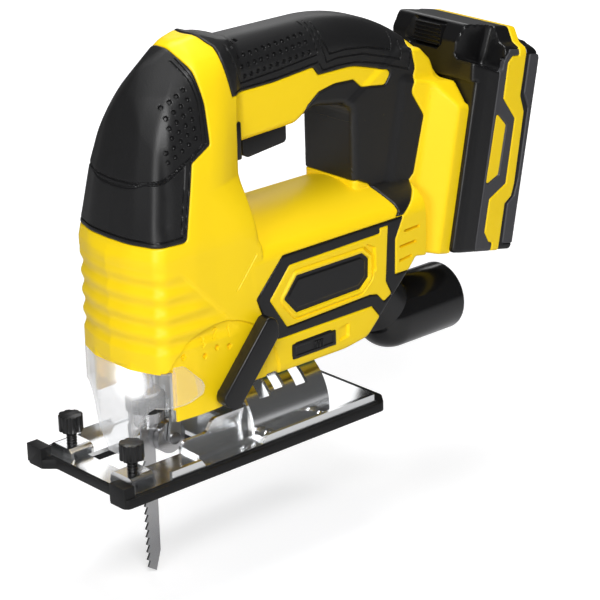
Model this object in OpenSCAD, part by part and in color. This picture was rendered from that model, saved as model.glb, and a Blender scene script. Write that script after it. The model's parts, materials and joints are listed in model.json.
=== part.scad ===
// Cordless D-handle jigsaw with a slide-on battery.
// Frame: X runs from the nose (-) to the battery (+), Y across the tool, Z up.
// The origin lies on the blade's centreline, in the plane of the shoe's underside.

/* [Sole] */
// Length of the plastic shoe
sole_len = 166; // [150:1:185]
// Width of the plastic shoe
sole_w = 76; // [74:1:84]
// Distance from the blade's centreline to the shoe's front edge
sole_front = 43; // [42:1:50]
// Thickness of the plastic shoe
shoe_t = 3; // [2.4:0.1:3.4]
// Height of the shoe's front corner blocks
shoe_block_h = 10; // [7:0.5:12]
// Thickness of the steel base plate
plate_t = 2; // [1.5:0.1:2.4]
// Height of the base plate's side flanges above the plate
flange_h = 4; // [2:0.5:5]
// Half width of the opening round the blade
blade_gap = 15; // [15:0.5:17]
// Outer radius of the bevel saddle
saddle_r = 26; // [25:0.5:27]
// Sheet thickness of the bevel saddle
saddle_t = 2; // [1.5:0.1:2.5]
// Length of the bevel saddle's round part
saddle_len = 48; // [44:1:52]
// Half width of the channel in front of the saddle
channel_w = 20; // [18:0.5:22]
// Diameter of the rivets that hold the saddle
rivet_d = 4.4; // [3:0.2:5]
// Width of the slot for the parallel guide
guide_slot_w = 10.4; // [9:0.2:10.4]
// Height of the slot for the parallel guide
guide_slot_h = 3.2; // [2.5:0.1:4]
// Diameter of the thumb screws' heads
thumb_d = 11.6; // [10:0.2:12]
// Height of the thumb screws' tops above the sole
thumb_top = 24; // [22:0.5:26]

/* [Blade drive] */
// Length of the stroke
stroke = 20; // [16:1:20]
// Diameter of the plunger
plunger_d = 8; // [7:0.2:9]
// Height of the crank gear's axle above the sole
crank_z = 106.4; // [106:0.2:107]
// Gear module
gear_m = 0.8; // [0.78:0.01:0.82]
// Teeth on the crank gear
gear_teeth = 48; // [44:1:50]
// Teeth on the motor pinion
pinion_teeth = 8; // [8:1:9]
// Face width of the crank gear
gear_w = 6; // [5:0.5:7]
// Width of the blade
blade_w = 8; // [7:0.5:9]
// Thickness of the blade
blade_t = 1.2; // [1:0.1:1.5]
// How far the blade's tip hangs below the sole at the bottom of the stroke
blade_reach = 59; // [50:1:70]
// Pitch of the blade's teeth
tooth_pitch = 4; // [2:0.5:5]
// Diameter of the blade clamp's collar
clamp_d = 19; // [17:0.5:20]
// Diameter of the guide roller in its groove
roller_d = 13.6; // [12:0.2:15]
// Clearance between the roller and the back of the blade
roller_gap = 0.2; // [0.1:0.05:0.4]

/* [Motor] */
// Outer diameter of the motor can
motor_d = 42; // [38:1:43]
// Length of the motor can
motor_len = 58; // [50:1:60]
// Diameter of the armature shaft
shaft_d = 5; // [4:0.5:6]
// Diameter of the fan
fan_d = 36; // [32:1:38]

/* [Body] */
// Width of the body across the motor
body_w = 66; // [64:1:70]
// Width of the nose
nose_w = 61; // [60:1:64]
// Width of the handle
handle_w = 34; // [30:1:37]
// Height of the body's underside above the sole
body_z = 36; // [36:0.5:38]
// Height of the motor bulge's crown above the sole
crown_z = 112; // [111:0.5:114]
// Height of the handle's straight top above the sole
handle_z = 194.5; // [192:0.5:198]
// Thickness of the soft grip layer
grip_t = 1.6; // [1.2:0.1:2]
// Width of the blade bay
bay_w = 57.2; // [56:0.2:58]
// Thickness of the clear guard
guard_t = 1.5; // [1.2:0.1:2]
// Depth of the side plates' recess
plate_recess = 1; // [0.6:0.1:1.4]
// Outer diameter of the dust port
port_d = 35; // [33:0.5:36]
// Inner diameter of the dust port
port_bore_d = 32; // [28:0.5:32]
// Distance from the blade's centreline to the dust port's mouth
port_end = 194.5; // [185:1:205]

/* [Controls] */
// Length of the trigger
trigger_len = 27; // [24:1:28]
// Width of the trigger
trigger_w = 16; // [14:1:18]
// Travel of the trigger
trigger_travel = 5; // [3:0.5:6]
// Length of the orbital lever from its pivot to its tip
lever_len = 42; // [38:1:44]
// Width of the orbital lever
lever_w = 12; // [10:0.5:13]
// Thickness of the orbital lever
lever_t = 7; // [5:0.5:8]
// Angle between the orbital lever's positions
lever_step = 16; // [14:1:16]

/* [Battery] */
// Lean of the battery towards the rear
lean = 11.5; // [9:0.5:12]
// Height of the battery's head above the rails
batt_head = 32; // [31:0.5:36]
// Depth of the battery behind its rails
batt_d = 43.3; // [40:0.5:46]
// Width of the battery
batt_w = 74; // [70:1:76]
// Length of the rails
rail_len = 76; // [70:1:78]
// Width of the rails' tongue
tongue_w = 44; // [40:1:48]

/* [Hidden] */

$fn = 48;
eps = 0.01;
fit_gap = 0.05;   // radial clearance of a running fit
part_gap = 0.3;   // gap between pieces that move past each other
press_gap = 0.02; // gap between pieces that are seated in one another

yellow = "#f7d117";
black = "#1f1f21";
grey = "#55565a";
steel = "#c9ccd0";
zinc = "#dfe2e6";
brass = "#c8a44a";

// ---- outlines -------------------------------------------------------------------------------
// A corner is [x, z, radius]; a list of them runs anticlockwise.
function flat(c) = [c[0], c[1]];
function unit(v) = v / norm(v);
function rounded_corner(p, c, q, r, n) = r < eps ? [c] :
    let (u = unit(p - c), w = unit(q - c), half = acos(u * w) / 2,
         m = c + unit(u + w) * r / sin(half), a = c + u * r / tan(half) - m, b = c + w * r / tan(half) - m)
    [for (k = [0:n]) m + r * unit(a * (1 - k / n) + b * k / n)];
function outline(c, n = 3) = let (s = len(c)) [for (i = [0:s - 1])
    each rounded_corner(flat(c[(i + s - 1) % s]), flat(c[i]), flat(c[(i + 1) % s]), c[i][2], n)];
// The same corners with every edge moved inwards by t
function inset(c, t) = let (s = len(c)) [for (i = [0:s - 1])
    let (d = unit(flat(c[i]) - flat(c[(i + s - 1) % s])), e = unit(flat(c[(i + 1) % s]) - flat(c[i])),
         n = [-d[1], d[0]], m = [-e[1], e[0]], turn = d[0] * e[1] - d[1] * e[0],
         shift = t * (n + m) / (1 + n * m))
    [c[i][0] + shift[0], c[i][1] + shift[1], c[i][2] < eps ? 0 : max(0, c[i][2] - sign(turn) * t)]];

// ---- simple solids --------------------------------------------------------------------------
module side_prism(y0, y1) translate([0, y1, 0]) rotate([90, 0, 0]) linear_extrude(y1 - y0) children();
module front_prism(x0, x1) translate([x0, 0, 0]) rotate([90, 0, 90]) linear_extrude(x1 - x0) children();
module x_rod(r, x0, x1, y = 0, z = 0) translate([x0, y, z]) rotate([0, 90, 0]) cylinder(r = r, h = x1 - x0);
module y_rod(r, y0, y1, x = 0, z = 0) translate([x, y1, z]) rotate([90, 0, 0]) cylinder(r = r, h = y1 - y0);
module x_ring(r, bore, x0, x1, y = 0, z = 0) difference() {
    x_rod(r, x0, x1, y, z);
    x_rod(bore, x0 - 1, x1 + 1, y, z);
}
module ring(r, bore, h) difference() {
    cylinder(r = r, h = h);
    translate([0, 0, -1]) cylinder(r = bore, h = h + 2);
}
module box(lo, hi) translate(lo) cube(hi - lo);
module both_sides() { children(); mirror([0, 1, 0]) children(); }
module half(side) intersection() {
    children();
    box([-90, side < 0 ? -90 : 0, -90], [260, side < 0 ? 0 : 90, 260]);
}

// ---- derived places -------------------------------------------------------------------------
half_w = body_w / 2;
nose_half = nose_w / 2;
grip_half = handle_w / 2;
bay_half = bay_w / 2;
band_depth = half_w - 6;          // where the side bands end under the belly
plate_z = shoe_t + plate_t;
tilt_z = plate_z + 2;             // height of the bevel axis
sole_half = sole_w / 2;
plate_half = sole_half - 2.5;
sole_rear = sole_len - sole_front;
saddle_x = 44;                    // front end of the saddle's round part
rivet_x = [saddle_x + 6, saddle_x + saddle_len - 8];
rivet_y = saddle_r + 4;
led_x = -13.8;                    // lamp in the ceiling of the blade bay
led_r = 2.2;
knob_x = -27;
knob_y = 23;
hump_wall = 1.3;
hump_top = plate_z + guide_slot_h + 1.7;
bevel_x = saddle_x + 21;          // bevel screw, through the saddle's arc slot

nose_x = -18;                     // front face of the nose
bay_z = 54;                       // ceiling of the blade bay
crank_r = stroke / 2;
pinion_r = gear_m * pinion_teeth / 2;
gear_r = gear_m * gear_teeth / 2;
motor_z = crank_z - pinion_r - gear_r - 0.05;
gear_x = 15;
gearbox_x = 24;                   // front face of the gearbox plate
gearbox_half = bay_half - 2;
fan_x = 40;
can_x = 50;
can_end = can_x + motor_len;
shaft_r = shaft_d / 2;
rotor_r = motor_d / 2 - 6.6;
carrier_z = 128.5;                // pivot of the plunger carrier
fork_x = 14;                      // pivot of the pendulum fork
fork_z = 45;
rod_r = plunger_d / 2;
yoke_z = crank_z - crank_r;       // the crank stands at the bottom of its turn
yoke_back = 7;                    // rear face of the yoke
collar_z = 26;                    // underside of the clamp's collar
roller_z = 9;
roller_x = blade_w / 2 + roller_gap + roller_d / 2;
window_x = 46.5;                  // front wall of the hand opening
window_end = 118.5;
trigger_x = window_x + 11.5;
button_x = 43.5;
lever_x = 20.5;
lever_z = 36.5;
lever_rest = 41;                  // lean of the lever from the upright, towards the rear
slider_z = 45;
slider_x = 79.5;
arch_r = 45;
arc_r = 105;                      // outer radius of the handle's rear arc
arc_x = 100;
rail_x = 166.7;                   // foot of the battery's interface plane
rail_z = 67.1;
tongue_d = 6;
rail_flare = 22;
port_x = 124;

side_outline = [[-24, bay_z, 0], [-6, bay_z, 1], [-6, 28, 1], [20, 28.5, 8], [38, body_z, 8], [98, body_z, 20],
    [112, 38.5, 8], [140.6, 66, 2], [145.3, 71.5, 2], [172, 66, 0], [210, 66, 0], [210, 215, 0], [66, 215, 0],
    [50, 195.4, 4], [42, 197, 10], [33, 200.5, 6], [22, 198.5, 5], [4, 188, 9], [-2.5, 178, 10],
    [-11.5, 143.5, 60], [-17.2, 111, 12], [-24, 99, 0]];
window = [[window_x, crown_z + 1, 8], [window_end, crown_z + 1, 8], [window_end, 151, 6], [95, 155, 12],
    [84, 149, 8], [window_x, 147.5, 3]];
nose_plan = [[nose_x, -13, 9], [-12, -nose_half, 8], [8, -half_w, 20], [window_x + 1.5, -half_w, 0],
    [window_x + 1.5, half_w, 0], [8, half_w, 20], [-12, nose_half, 8], [nose_x, 13, 9]];
nose_front = [[-half_w - 2, 18, 0], [half_w + 2, 18, 0], [half_w, 112, 20], [26, 158, 30],
    [grip_half + 1.5, 190, 14], [8, 203, 8], [-8, 203, 8], [-grip_half - 1.5, 190, 14], [-26, 158, 30],
    [-half_w, 112, 20]];
handle_cut = [[-grip_half, -50, 11], [grip_half, -50, 11], [grip_half, 0, 14], [-grip_half, 0, 14]];
column_plan = [[window_end - 12, -grip_half - 1, 8], [180, -grip_half - 1, 8], [180, grip_half + 1, 8],
    [window_end - 12, grip_half + 1, 8]];
column_side = [[102, 90, 0], [176, 90, 0], [176, 150, 4], [171, 163, 6], [164, 170, 4], [150, 170, 0], [112, 150, 0]];
rail_plan = [[0, -half_w, 1], [0, half_w, 1], [-6, half_w, 3], [-17, rail_flare, 5], [-34, 19, 4],
    [-34, -19, 4], [-17, -rail_flare, 5], [-6, -half_w, 3]];
rail_front = [[-half_w - 1, -12, 0], [half_w + 1, -12, 0], [half_w + 1, rail_len - 3, 3], [rail_flare, rail_len + 9, 4],
    [-rail_flare, rail_len + 9, 4], [-half_w - 1, rail_len - 3, 3]];

// ---- the body's outer form; t is the depth below the outer skin --------------------------------
module along_rail() translate([rail_x, 0, rail_z]) rotate([0, lean, 0]) children();

// What is cut from the nose's shoulder so that it runs into the narrow handle
module neck_cut(t) translate([-t / 2, t * 0.87, 0]) polyhedron(
    points = [[49, -36, 104], [18, -36, 135], [49, -18, 135], [18, -36, 215], [49, -36, 215], [49, -18, 215]],
    faces = [[0, 1, 3, 4], [0, 4, 5, 2], [0, 2, 1], [1, 2, 5, 3], [3, 5, 4]]);
module nose_zone(t) difference() {
    intersection() {
        linear_extrude(215) polygon(outline(inset(nose_plan, t)));
        front_prism(-30, 60) polygon(outline(inset(nose_front, t)));
    }
    both_sides() neck_cut(t);
}
module motor_zone(t) front_prism(30, 152) intersection() {
    polygon([[t - half_w, 30], [half_w - t, 30], [half_w - t, 120], [t - half_w, 120]]);
    translate([0, crown_z - arch_r]) circle(r = arch_r - t, $fn = 96);
}
module handle_zone(t) {
    front_prism(24, arc_x) translate([0, handle_z]) polygon(outline(inset(handle_cut, t)));
    translate([arc_x, 0, handle_z - arc_r]) rotate([90, 0, 0]) rotate([0, 0, 50])
        rotate_extrude(angle = 40, $fn = 96) translate([arc_r, 0]) rotate(-90) polygon(outline(inset(handle_cut, t)));
}
module column_zone(t) intersection() {
    linear_extrude(200) polygon(outline(inset(column_plan, t)));
    side_prism(-50, 50) polygon(outline(inset(column_side, t)));
}
module rail_zone(t) along_rail() intersection() {
    translate([0, 0, -14]) linear_extrude(110) polygon(outline(inset(rail_plan, t)));
    front_prism(-40, 5) polygon(outline(inset(rail_front, t)));
}
module body_form(t) intersection() {
    side_prism(-50, 50) difference() {
        polygon(outline(inset(side_outline, t)));
        polygon(outline(inset(window, -t)));
    }
    union() {
        nose_zone(t);
        motor_zone(t);
        handle_zone(t);
        column_zone(t);
        rail_zone(t);
    }
}

// ---- regions of the soft layers, seen from the side ---------------------------------------------
nose_region = [[-30, 114, 0], [8, 114, 3], [11, 135, 0], [14, 148, 2], [27, 155.5, 2], [29, 178, 10],
    [24, 190, 8], [18, 205, 0], [-30, 205, 0]];
handle_region = [[46, 169, 1], [94, 172.5, 2], [97, 168, 2], [142, 164.5, 1.4], [143, 161, 1.4], [112, 163, 6],
    [98, 159, 3], [90, 150, 0], [114, 145, 0], [114, 108, 2], [124, 108, 2], [133, 99, 3], [141, 95, 0],
    [160, 108, 4], [164, 138, 3], [157, 150, 4], [161, 160, 4], [158, 172, 3], [164, 190, 0], [100, 220, 0],
    [36, 205, 0]];
band_outer = [[55, 53.6, 1], [115, 53.6, 1], [121, 46, 0], [132.5, 53, 0], [140, 66.2, 0], [131, 66.2, 0],
    [131.4, 84, 2], [137, 94.8, 0], [59, 94.5, 1], [42.3, 77, 1], [48.2, 60.4, 1]];
band_inner = [[60.8, 58.5, 1], [114, 60, 1], [119, 59, 1], [123.3, 54.3, 1], [128.2, 57, 1], [124.6, 64, 1],
    [126, 86, 1], [126.5, 92, 0], [121, 92, 0], [121.5, 89.3, 1], [63, 88.4, 1], [50.6, 74.2, 1]];
badge_outline = [[66.8, 63.4, 1], [108, 64.2, 1], [113.6, 69, 1], [114, 78.8, 1], [109.6, 82.8, 1],
    [67.1, 82.6, 1], [58.8, 72.7, 1]];

module band_shape(t) difference() {
    polygon(outline(inset(band_outer, t)));
    polygon(outline(inset(band_inner, -t)));
}
module skin(side, inner = 0) difference() {
    intersection() {
        body_form(0);
        side_prism(side < 0 ? -60 : inner, side < 0 ? -inner : 60) children();
    }
    body_form(grip_t - press_gap);
}

// ---- housing shells -----------------------------------------------------------------------------
module guard_side(t) side_prism(-50, 50) polygon(outline(inset([[-30, 4, 0], [-9, 4, 0], [-5.5, 36.5, 2],
    [2, 37.8, 3], [8.5, 40.5, 2], [9.5, 44, 2], [8, 47, 3], [-1, 56, 2], [-6.3, 56.5, 0], [-6.3, bay_z, 0],
    [-30, bay_z, 0]], t)));
module mechanism_space() {
    box([nose_x + 7, -gearbox_half, bay_z + 3], [gearbox_x + 12, gearbox_half, 110]);
    box([nose_x + 9, -gearbox_half, 109], [gearbox_x + 12, gearbox_half, 128]);
    box([-9, -20, 127], [20, 20, 136]);
    translate([0, 0, 130]) cylinder(r = rod_r + 0.8, h = 28);
    box([nose_x - 5, -bay_half, 20], [32, bay_half, bay_z]);
    box([-12, -13, bay_z - 1], [12, 13, bay_z + 4]);
    box([8, -9, 40], [22, 9, bay_z + 4]);
    x_rod(fan_d / 2 + 1, gearbox_x + 11, can_x + 1, 0, motor_z);
    x_rod(motor_d / 2 + press_gap, can_x, can_end + 6, 0, motor_z);
    box([55, -22, body_z + 4.5], [can_end + 3, 22, motor_z - 15]);
}
module handle_space() {
    box([trigger_x - 3, -8.5, 150], [92, 8.5, 176]);
    box([trigger_x - part_gap, -trigger_w / 2 - part_gap, 140], [trigger_x + trigger_len + part_gap,
        trigger_w / 2 + part_gap, 151]);
    box([button_x - 3.5, -40, 140], [button_x + 4.5, 40, 159.5]);
}
module port_space() {
    x_rod(port_d / 2 + press_gap, port_x, port_end, 0, 30);
    translate([port_x, 0, 30]) sphere(r = port_d / 2 + press_gap);
    translate([port_x - 3, 0, 30]) cylinder(r = 9 + press_gap, h = 25);
}
module tongue() along_rail() {
    box([-2, -tongue_w / 2 + 2.5, 2], [tongue_d, tongue_w / 2 - 2.5, rail_len]);
    box([tongue_d - 2.5, -tongue_w / 2, 2], [tongue_d, tongue_w / 2, rail_len]);
}
module contact_pocket(t) along_rail() box([-12 + t, -15 + t, 30 + t], [tongue_d + 1, 15 - t, rail_len + 1]);
module lower_chamfer() both_sides() front_prism(-8, 34)
    polygon([[bay_half - 3, 20], [half_w + 3, 20], [half_w + 3, 24.4], [bay_half - 3, 39.3]]);
screw_places = [[41.5, 119], [15, 152], [34, 184], [104, 178], [150, 168], [128, 120], [150, 92], [131, 73], [44, 49]];

module housing(side) color(yellow) difference() {
    union() {
        half(side) body_form(grip_t);
        difference() {
            half(side) body_form(0);
            side_prism(-60, 60) polygon(outline(nose_region));
            side_prism(-60, 60) polygon(outline(handle_region));
            side_prism(side < 0 ? -60 : band_depth, side < 0 ? -band_depth : 60) band_shape(0);
        }
        half(side) tongue();
    }
    mechanism_space();
    handle_space();
    port_space();
    contact_pocket(0);
    lower_chamfer();
    side_prism(side < 0 ? -40 : half_w - plate_recess, side < 0 ? plate_recess - half_w : 40)
        polygon(outline(badge_outline));
    // recess for the guard's side lobes
    difference() {
        guard_side(-press_gap);
        linear_extrude(80) polygon(outline(inset(nose_plan, guard_t + press_gap)));
    }
    translate([led_x, 0, bay_z - 1]) cylinder(r = led_r + press_gap, h = 3.5);
    translate([bevel_x, 0, 30]) cylinder(r = 3 + press_gap, h = 9.8);
    for (p = screw_places) {
        y_rod(1.6 + press_gap, -12.5, 13, p[0], p[1]);
        y_rod(3.2, 11, 60, p[0], p[1]);
    }
    if (side < 0) {
        box([63, -half_w - 1, slider_z - 3.8], [90.5, -half_w + 6, slider_z + 3.8]);
        y_rod(3 + fit_gap, -half_w - 1, -20, lever_x, lever_z);
    }
    if (side > 0) y_rod(2.4 + fit_gap, 20, bay_half + 2.5, lever_x, lever_z);
    y_rod(2.5 + press_gap, -bay_half + 0.8, bay_half - 0.8, 0, carrier_z);
    y_rod(2.5 + press_gap, -13, 13, fork_x, fork_z);
}
module left_housing() housing(-1);
module right_housing() housing(1);

module nose_grip_left() color(black) skin(-1) polygon(outline(inset(nose_region, press_gap)));
module nose_grip_right() color(black) skin(1) polygon(outline(inset(nose_region, press_gap)));
module handle_grip_left() color(black) skin(-1) polygon(outline(inset(handle_region, press_gap)));
module handle_grip_right() color(black) skin(1) polygon(outline(inset(handle_region, press_gap)));
module side_bands() color(black) {
    skin(-1, band_depth + press_gap) band_shape(press_gap);
    skin(1, band_depth + press_gap) band_shape(press_gap);
}
module badge_plates() color(black) both_sides() side_prism(-half_w, plate_recess - half_w - press_gap)
    polygon(outline(inset(badge_outline, press_gap)));
module housing_screws() color(steel) for (p = screw_places) difference() {
    union() {
        y_rod(1.6, -12, 12, p[0], p[1]);
        y_rod(3, 11.5, 14, p[0], p[1]);
    }
    side_prism(12.6, 15) translate([p[0], p[1]]) square([2.6, 0.8], center = true);
}
module clear_guard() color("#eef2f4") intersection() {
    difference() {
        linear_extrude(80) polygon(outline(nose_plan));
        translate([0, 0, -1]) linear_extrude(90) polygon(outline(inset(nose_plan, guard_t)));
    }
    guard_side(0);
    front_prism(-30, 30) polygon([[-6.5, 8], [6.5, 8], [12.7, 18.5], [17, 28.5], [20.5, 34], [24.5, 37],
        [40, 37.5], [40, 70], [-40, 70], [-40, 37.5], [-24.5, 37], [-20.5, 34], [-17, 28.5], [-12.7, 18.5]]);
}
module dust_port() color(black) difference() {
    union() {
        x_rod(port_d / 2, port_x, port_end, 0, 30);
        translate([port_x, 0, 30]) sphere(r = port_d / 2);
        translate([port_x - 3, 0, 30]) cylinder(r = 9, h = 24.8);
    }
    x_rod(port_bore_d / 2, port_x, port_end + 1, 0, 30);
    translate([port_x, 0, 30]) sphere(r = port_bore_d / 2);
    translate([port_x - 3, 0, 30]) cylinder(r = 7, h = 30);
}
module led_lens() color("#eef2f4") translate([led_x, 0, bay_z - 2.5]) {
    cylinder(r = led_r, h = 4.9);
    translate([0, 0, 0.5]) sphere(r = led_r - 0.4);
}

// ---- controls -------------------------------------------------------------------------------
module trigger() color(black) difference() {
    side_prism(-trigger_w / 2, trigger_w / 2) polygon(outline([[trigger_x, 138, 2], [trigger_x + 3, 136, 2],
        [trigger_x + trigger_len, 138.5, 2], [trigger_x + trigger_len, 152, 0], [trigger_x, 152, 0]]));
    translate([trigger_x + 14, 0, 142]) cylinder(r = 4, h = 20);
}
module trigger_spring() color(steel) for (k = [0:10])
    translate([trigger_x + 14, 0, 142.2 + k * 1.47]) ring(3.4, 2.3, 1.2);
module switch_module() color(grey) difference() {
    box([trigger_x - 2.9, -8.4, 158.4], [91.9, 8.4, 175.9]);
    for (k = [0:3]) box([trigger_x + 2 + k * 7, -9, 170], [trigger_x + 5 + k * 7, -7.6, 174]);
}
module lock_off_button() color(black) box([button_x - 2.9, -21, 141], [button_x + 3.5, 21, 159.2]);
module orbital_lever() color(black) translate([lever_x, 0, lever_z]) rotate([0, lever_rest, 0]) side_prism(-34.2 - lever_t, -34.2)
    polygon(outline([[-lever_w / 2, -5, 4], [lever_w / 2, -5, 4], [lever_w / 2, lever_len - 6, 3],
        [0, lever_len, 5], [-lever_w / 2, lever_len - 2, 3]]));
module lever_cam() color(grey) difference() {
    union() {
        y_rod(3, -34.2, -bay_half + 1, lever_x, lever_z);
        y_rod(2.4, -bay_half, bay_half + 2.2, lever_x, lever_z);
        y_rod(4.6, -4, 4, lever_x, lever_z);
    }
    box([lever_x - 6, -5, lever_z - 6], [lever_x - 2.6, 5, lever_z + 6]);
}
module blower_bezel() color(black) difference() {
    box([63.05, -half_w - 0.8, slider_z - 3.75], [90.45, -half_w + 5.9, slider_z + 3.75]);
    box([65, -half_w - 2, slider_z - 2], [88.5, -half_w + 3, slider_z + 2]);
}
module blower_slider() color(black) union() {
    box([slider_x - 3, -half_w - 0.6, slider_z - 1.7], [slider_x + 3, -half_w + 2.7, slider_z + 1.7]);
    for (k = [-2, 0, 2]) box([slider_x + k - 0.4, -half_w - 1.4, slider_z - 1.7],
        [slider_x + k + 0.4, -half_w, slider_z + 1.7]);
}

// ---- blade drive ----------------------------------------------------------------------------
module plunger() color(steel) translate([0, 0, shoe_t + collar_z]) cylinder(r = rod_r, h = 135 - shoe_t - collar_z);
module yoke() color(grey) difference() {
    box([-6, -14.5, yoke_z - 7], [yoke_back, 14.5, yoke_z + 7]);
    translate([0, 0, yoke_z - 10]) cylinder(r = rod_r + press_gap, h = 20);
    box([yoke_back - 2.4, -16, yoke_z - 4.2], [yoke_back + 1, 16, yoke_z + 4.2]);
}
module blade_clamp() color(steel) difference() {
    union() {
        translate([0, 0, 17.5]) cylinder(r = 5.6, h = 4);
        translate([0, 0, 20.5]) cylinder(r = clamp_d / 2 - 1, h = collar_z - 20.5 - part_gap);
        translate([0, 0, 22]) cylinder(r = 5.6, h = 12);
        translate([0, 0, collar_z + 7.4]) cylinder(r = 7.5, h = 2);
    }
    translate([0, 0, shoe_t + collar_z - press_gap]) cylinder(r = rod_r + press_gap, h = 20);
    box([-blade_w / 2 - press_gap, -blade_t / 2 - press_gap, 10], [blade_w / 2 + press_gap, blade_t / 2 + press_gap, 28.5]);
}
module clamp_collar() color(black) translate([0, 0, collar_z]) difference() {
    ring(clamp_d / 2, 5.6 + fit_gap, 7);
    for (k = [0:11]) rotate([0, 0, k * 30]) translate([clamp_d / 2 + 0.6, 0, -1]) cylinder(r = 1, h = 10, $fn = 16);
}
module blade() color(grey) side_prism(-blade_t / 2, blade_t / 2) polygon(concat(
    [[blade_w / 2, 28], [-blade_w / 2, 28], [-blade_w / 2, 2]],
    [for (k = [0:floor((blade_reach - 5) / tooth_pitch)])
        each [[-blade_w / 2, -k * tooth_pitch], [-blade_w / 2 + 1.8, -k * tooth_pitch - 0.6]]],
    [[-blade_w / 2 + 0.4, -blade_reach + 3], [1, -blade_reach], [blade_w / 2, -blade_reach + 10]]));
module plunger_carrier() color("#a9adb2") difference() {
    union() {
        box([-8, -19, 124], [8, 19, 133]);
        box([-8, -19, 58], [8, 19, 68]);
        both_sides() box([-5, 16, 60], [5, 19, 130]);
    }
    translate([0, 0, 50]) cylinder(r = 6 + press_gap, h = 90);
    y_rod(2.5 + fit_gap, -25, 25, 0, carrier_z);
}
module plunger_bushes() color(brass) for (z = [58, 124]) translate([0, 0, z])
    ring(6, rod_r + fit_gap, z < 100 ? 10 : 9);
module pivot_pins() color(steel) {
    both_sides() y_rod(2.5, 8, bay_half - 1, 0, carrier_z);
    y_rod(2.5, -12.9, 12.9, fork_x, fork_z);
}
module pendulum_fork() color("#a9adb2") difference() {
    union() {
        both_sides() side_prism(4.8, 6.5) polygon(outline([[roller_x - 3.6, roller_z - 3, 3], [roller_x + 3.6, roller_z - 3, 3],
            [15.4, 26, 2], [15.4, 40, 2], [fork_x + 4.5, fork_z, 3], [fork_x + 4, fork_z + 5, 3],
            [fork_x - 4, fork_z + 5, 3], [9.9, 40, 3], [9.9, 20, 3]]));
        y_rod(4.4, -6.5, 6.5, fork_x, fork_z);
        side_prism(-6.5, 6.5) polygon([[11.5, 28], [15.4, 28], [15.4, 40], [11.5, 40]]);
    }
    y_rod(2.5 + fit_gap, -10, 10, fork_x, fork_z);
    y_rod(1.6 + press_gap, -10, 10, roller_x, roller_z);
}
module guide_roller() color(steel) difference() {
    y_rod(roller_d / 2 + 1.4, -4.4, 4.4, roller_x, roller_z);
    difference() {
        y_rod(roller_d / 2 + 3, -0.9, 0.9, roller_x, roller_z);
        y_rod(roller_d / 2, -2, 2, roller_x, roller_z);
    }
    y_rod(1.6 + fit_gap, -6, 6, roller_x, roller_z);
}
module roller_axle() color(steel) {
    y_rod(1.6, -6.9, 6.9, roller_x, roller_z);
    both_sides() y_rod(3, 6.55, 7.4, roller_x, roller_z);
}

// A spur gear's outline: flanks follow the base circle's involute.
function involute(rb, r) = let (a = acos(min(1, rb / r))) tan(a) * 180 / PI - a;
function tooth(n, m, k) = let (rp = m * n / 2, rb = rp * cos(20), tip = rp + 0.8 * m, root = rp - 1.1 * m,
    half = 90 / n * 0.93 + involute(rb, rp), c = 360 * k / n, low = max(root, rb))
    [for (s = [[-1, root], [-1, low], [-1, (low + tip) / 2], [-1, tip], [1, tip], [1, (low + tip) / 2], [1, low], [1, root]])
        let (r = s[1], a = c + s[0] * (half - involute(rb, max(r, rb)))) r * [cos(a), sin(a)]];
module spur(n, m, x0, w, turn) translate([x0, 0, 0]) rotate([90, 0, 90]) rotate(turn) linear_extrude(w)
    polygon([for (k = [0:n - 1]) each tooth(n, m, k)]);

module gearbox_plate() color("#a9adb2") difference() {
    box([gearbox_x, -gearbox_half + press_gap, bay_z + 3.02], [gearbox_x + 11.98, gearbox_half - press_gap, 127.5]);
    x_rod(4 + press_gap, gearbox_x - 1, gearbox_x + 20, 0, crank_z);
    x_rod(6.5 + press_gap, gearbox_x + 4, gearbox_x + 20, 0, motor_z);
    x_rod(3.5, gearbox_x - 1, gearbox_x + 20, 0, motor_z);
    both_sides() x_rod(3, gearbox_x - 1, gearbox_x + 20, 19, 68);
    both_sides() x_rod(3, gearbox_x - 1, gearbox_x + 20, 19, 118);
}
module gear_axle() color(steel) translate([0, 0, crank_z]) {
    x_rod(4, gear_x - 0.3, gearbox_x + 11.9);
    x_rod(5, gear_x - 1.2, gear_x - 0.1);
}
module crank_gear() color(grey) difference() {
    translate([0, 0, crank_z]) union() {
        spur(gear_teeth, gear_m, gear_x, gear_w, 0);
        x_rod(7, gear_x, gearbox_x - part_gap);
        x_rod(2.5, yoke_back + 0.4, gear_x + 1, 0, -crank_r);
    }
    x_rod(4 + fit_gap, 0, 40, 0, crank_z);
    for (a = [30, 90, 150]) x_rod(3, 0, 40, 12.5 * cos(a), crank_z + 12.5 * sin(a));
}
module crank_roller() color(steel) x_ring(4, 2.5 + fit_gap, yoke_back + 0.6, gear_x - part_gap, 0, crank_z - crank_r);

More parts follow.
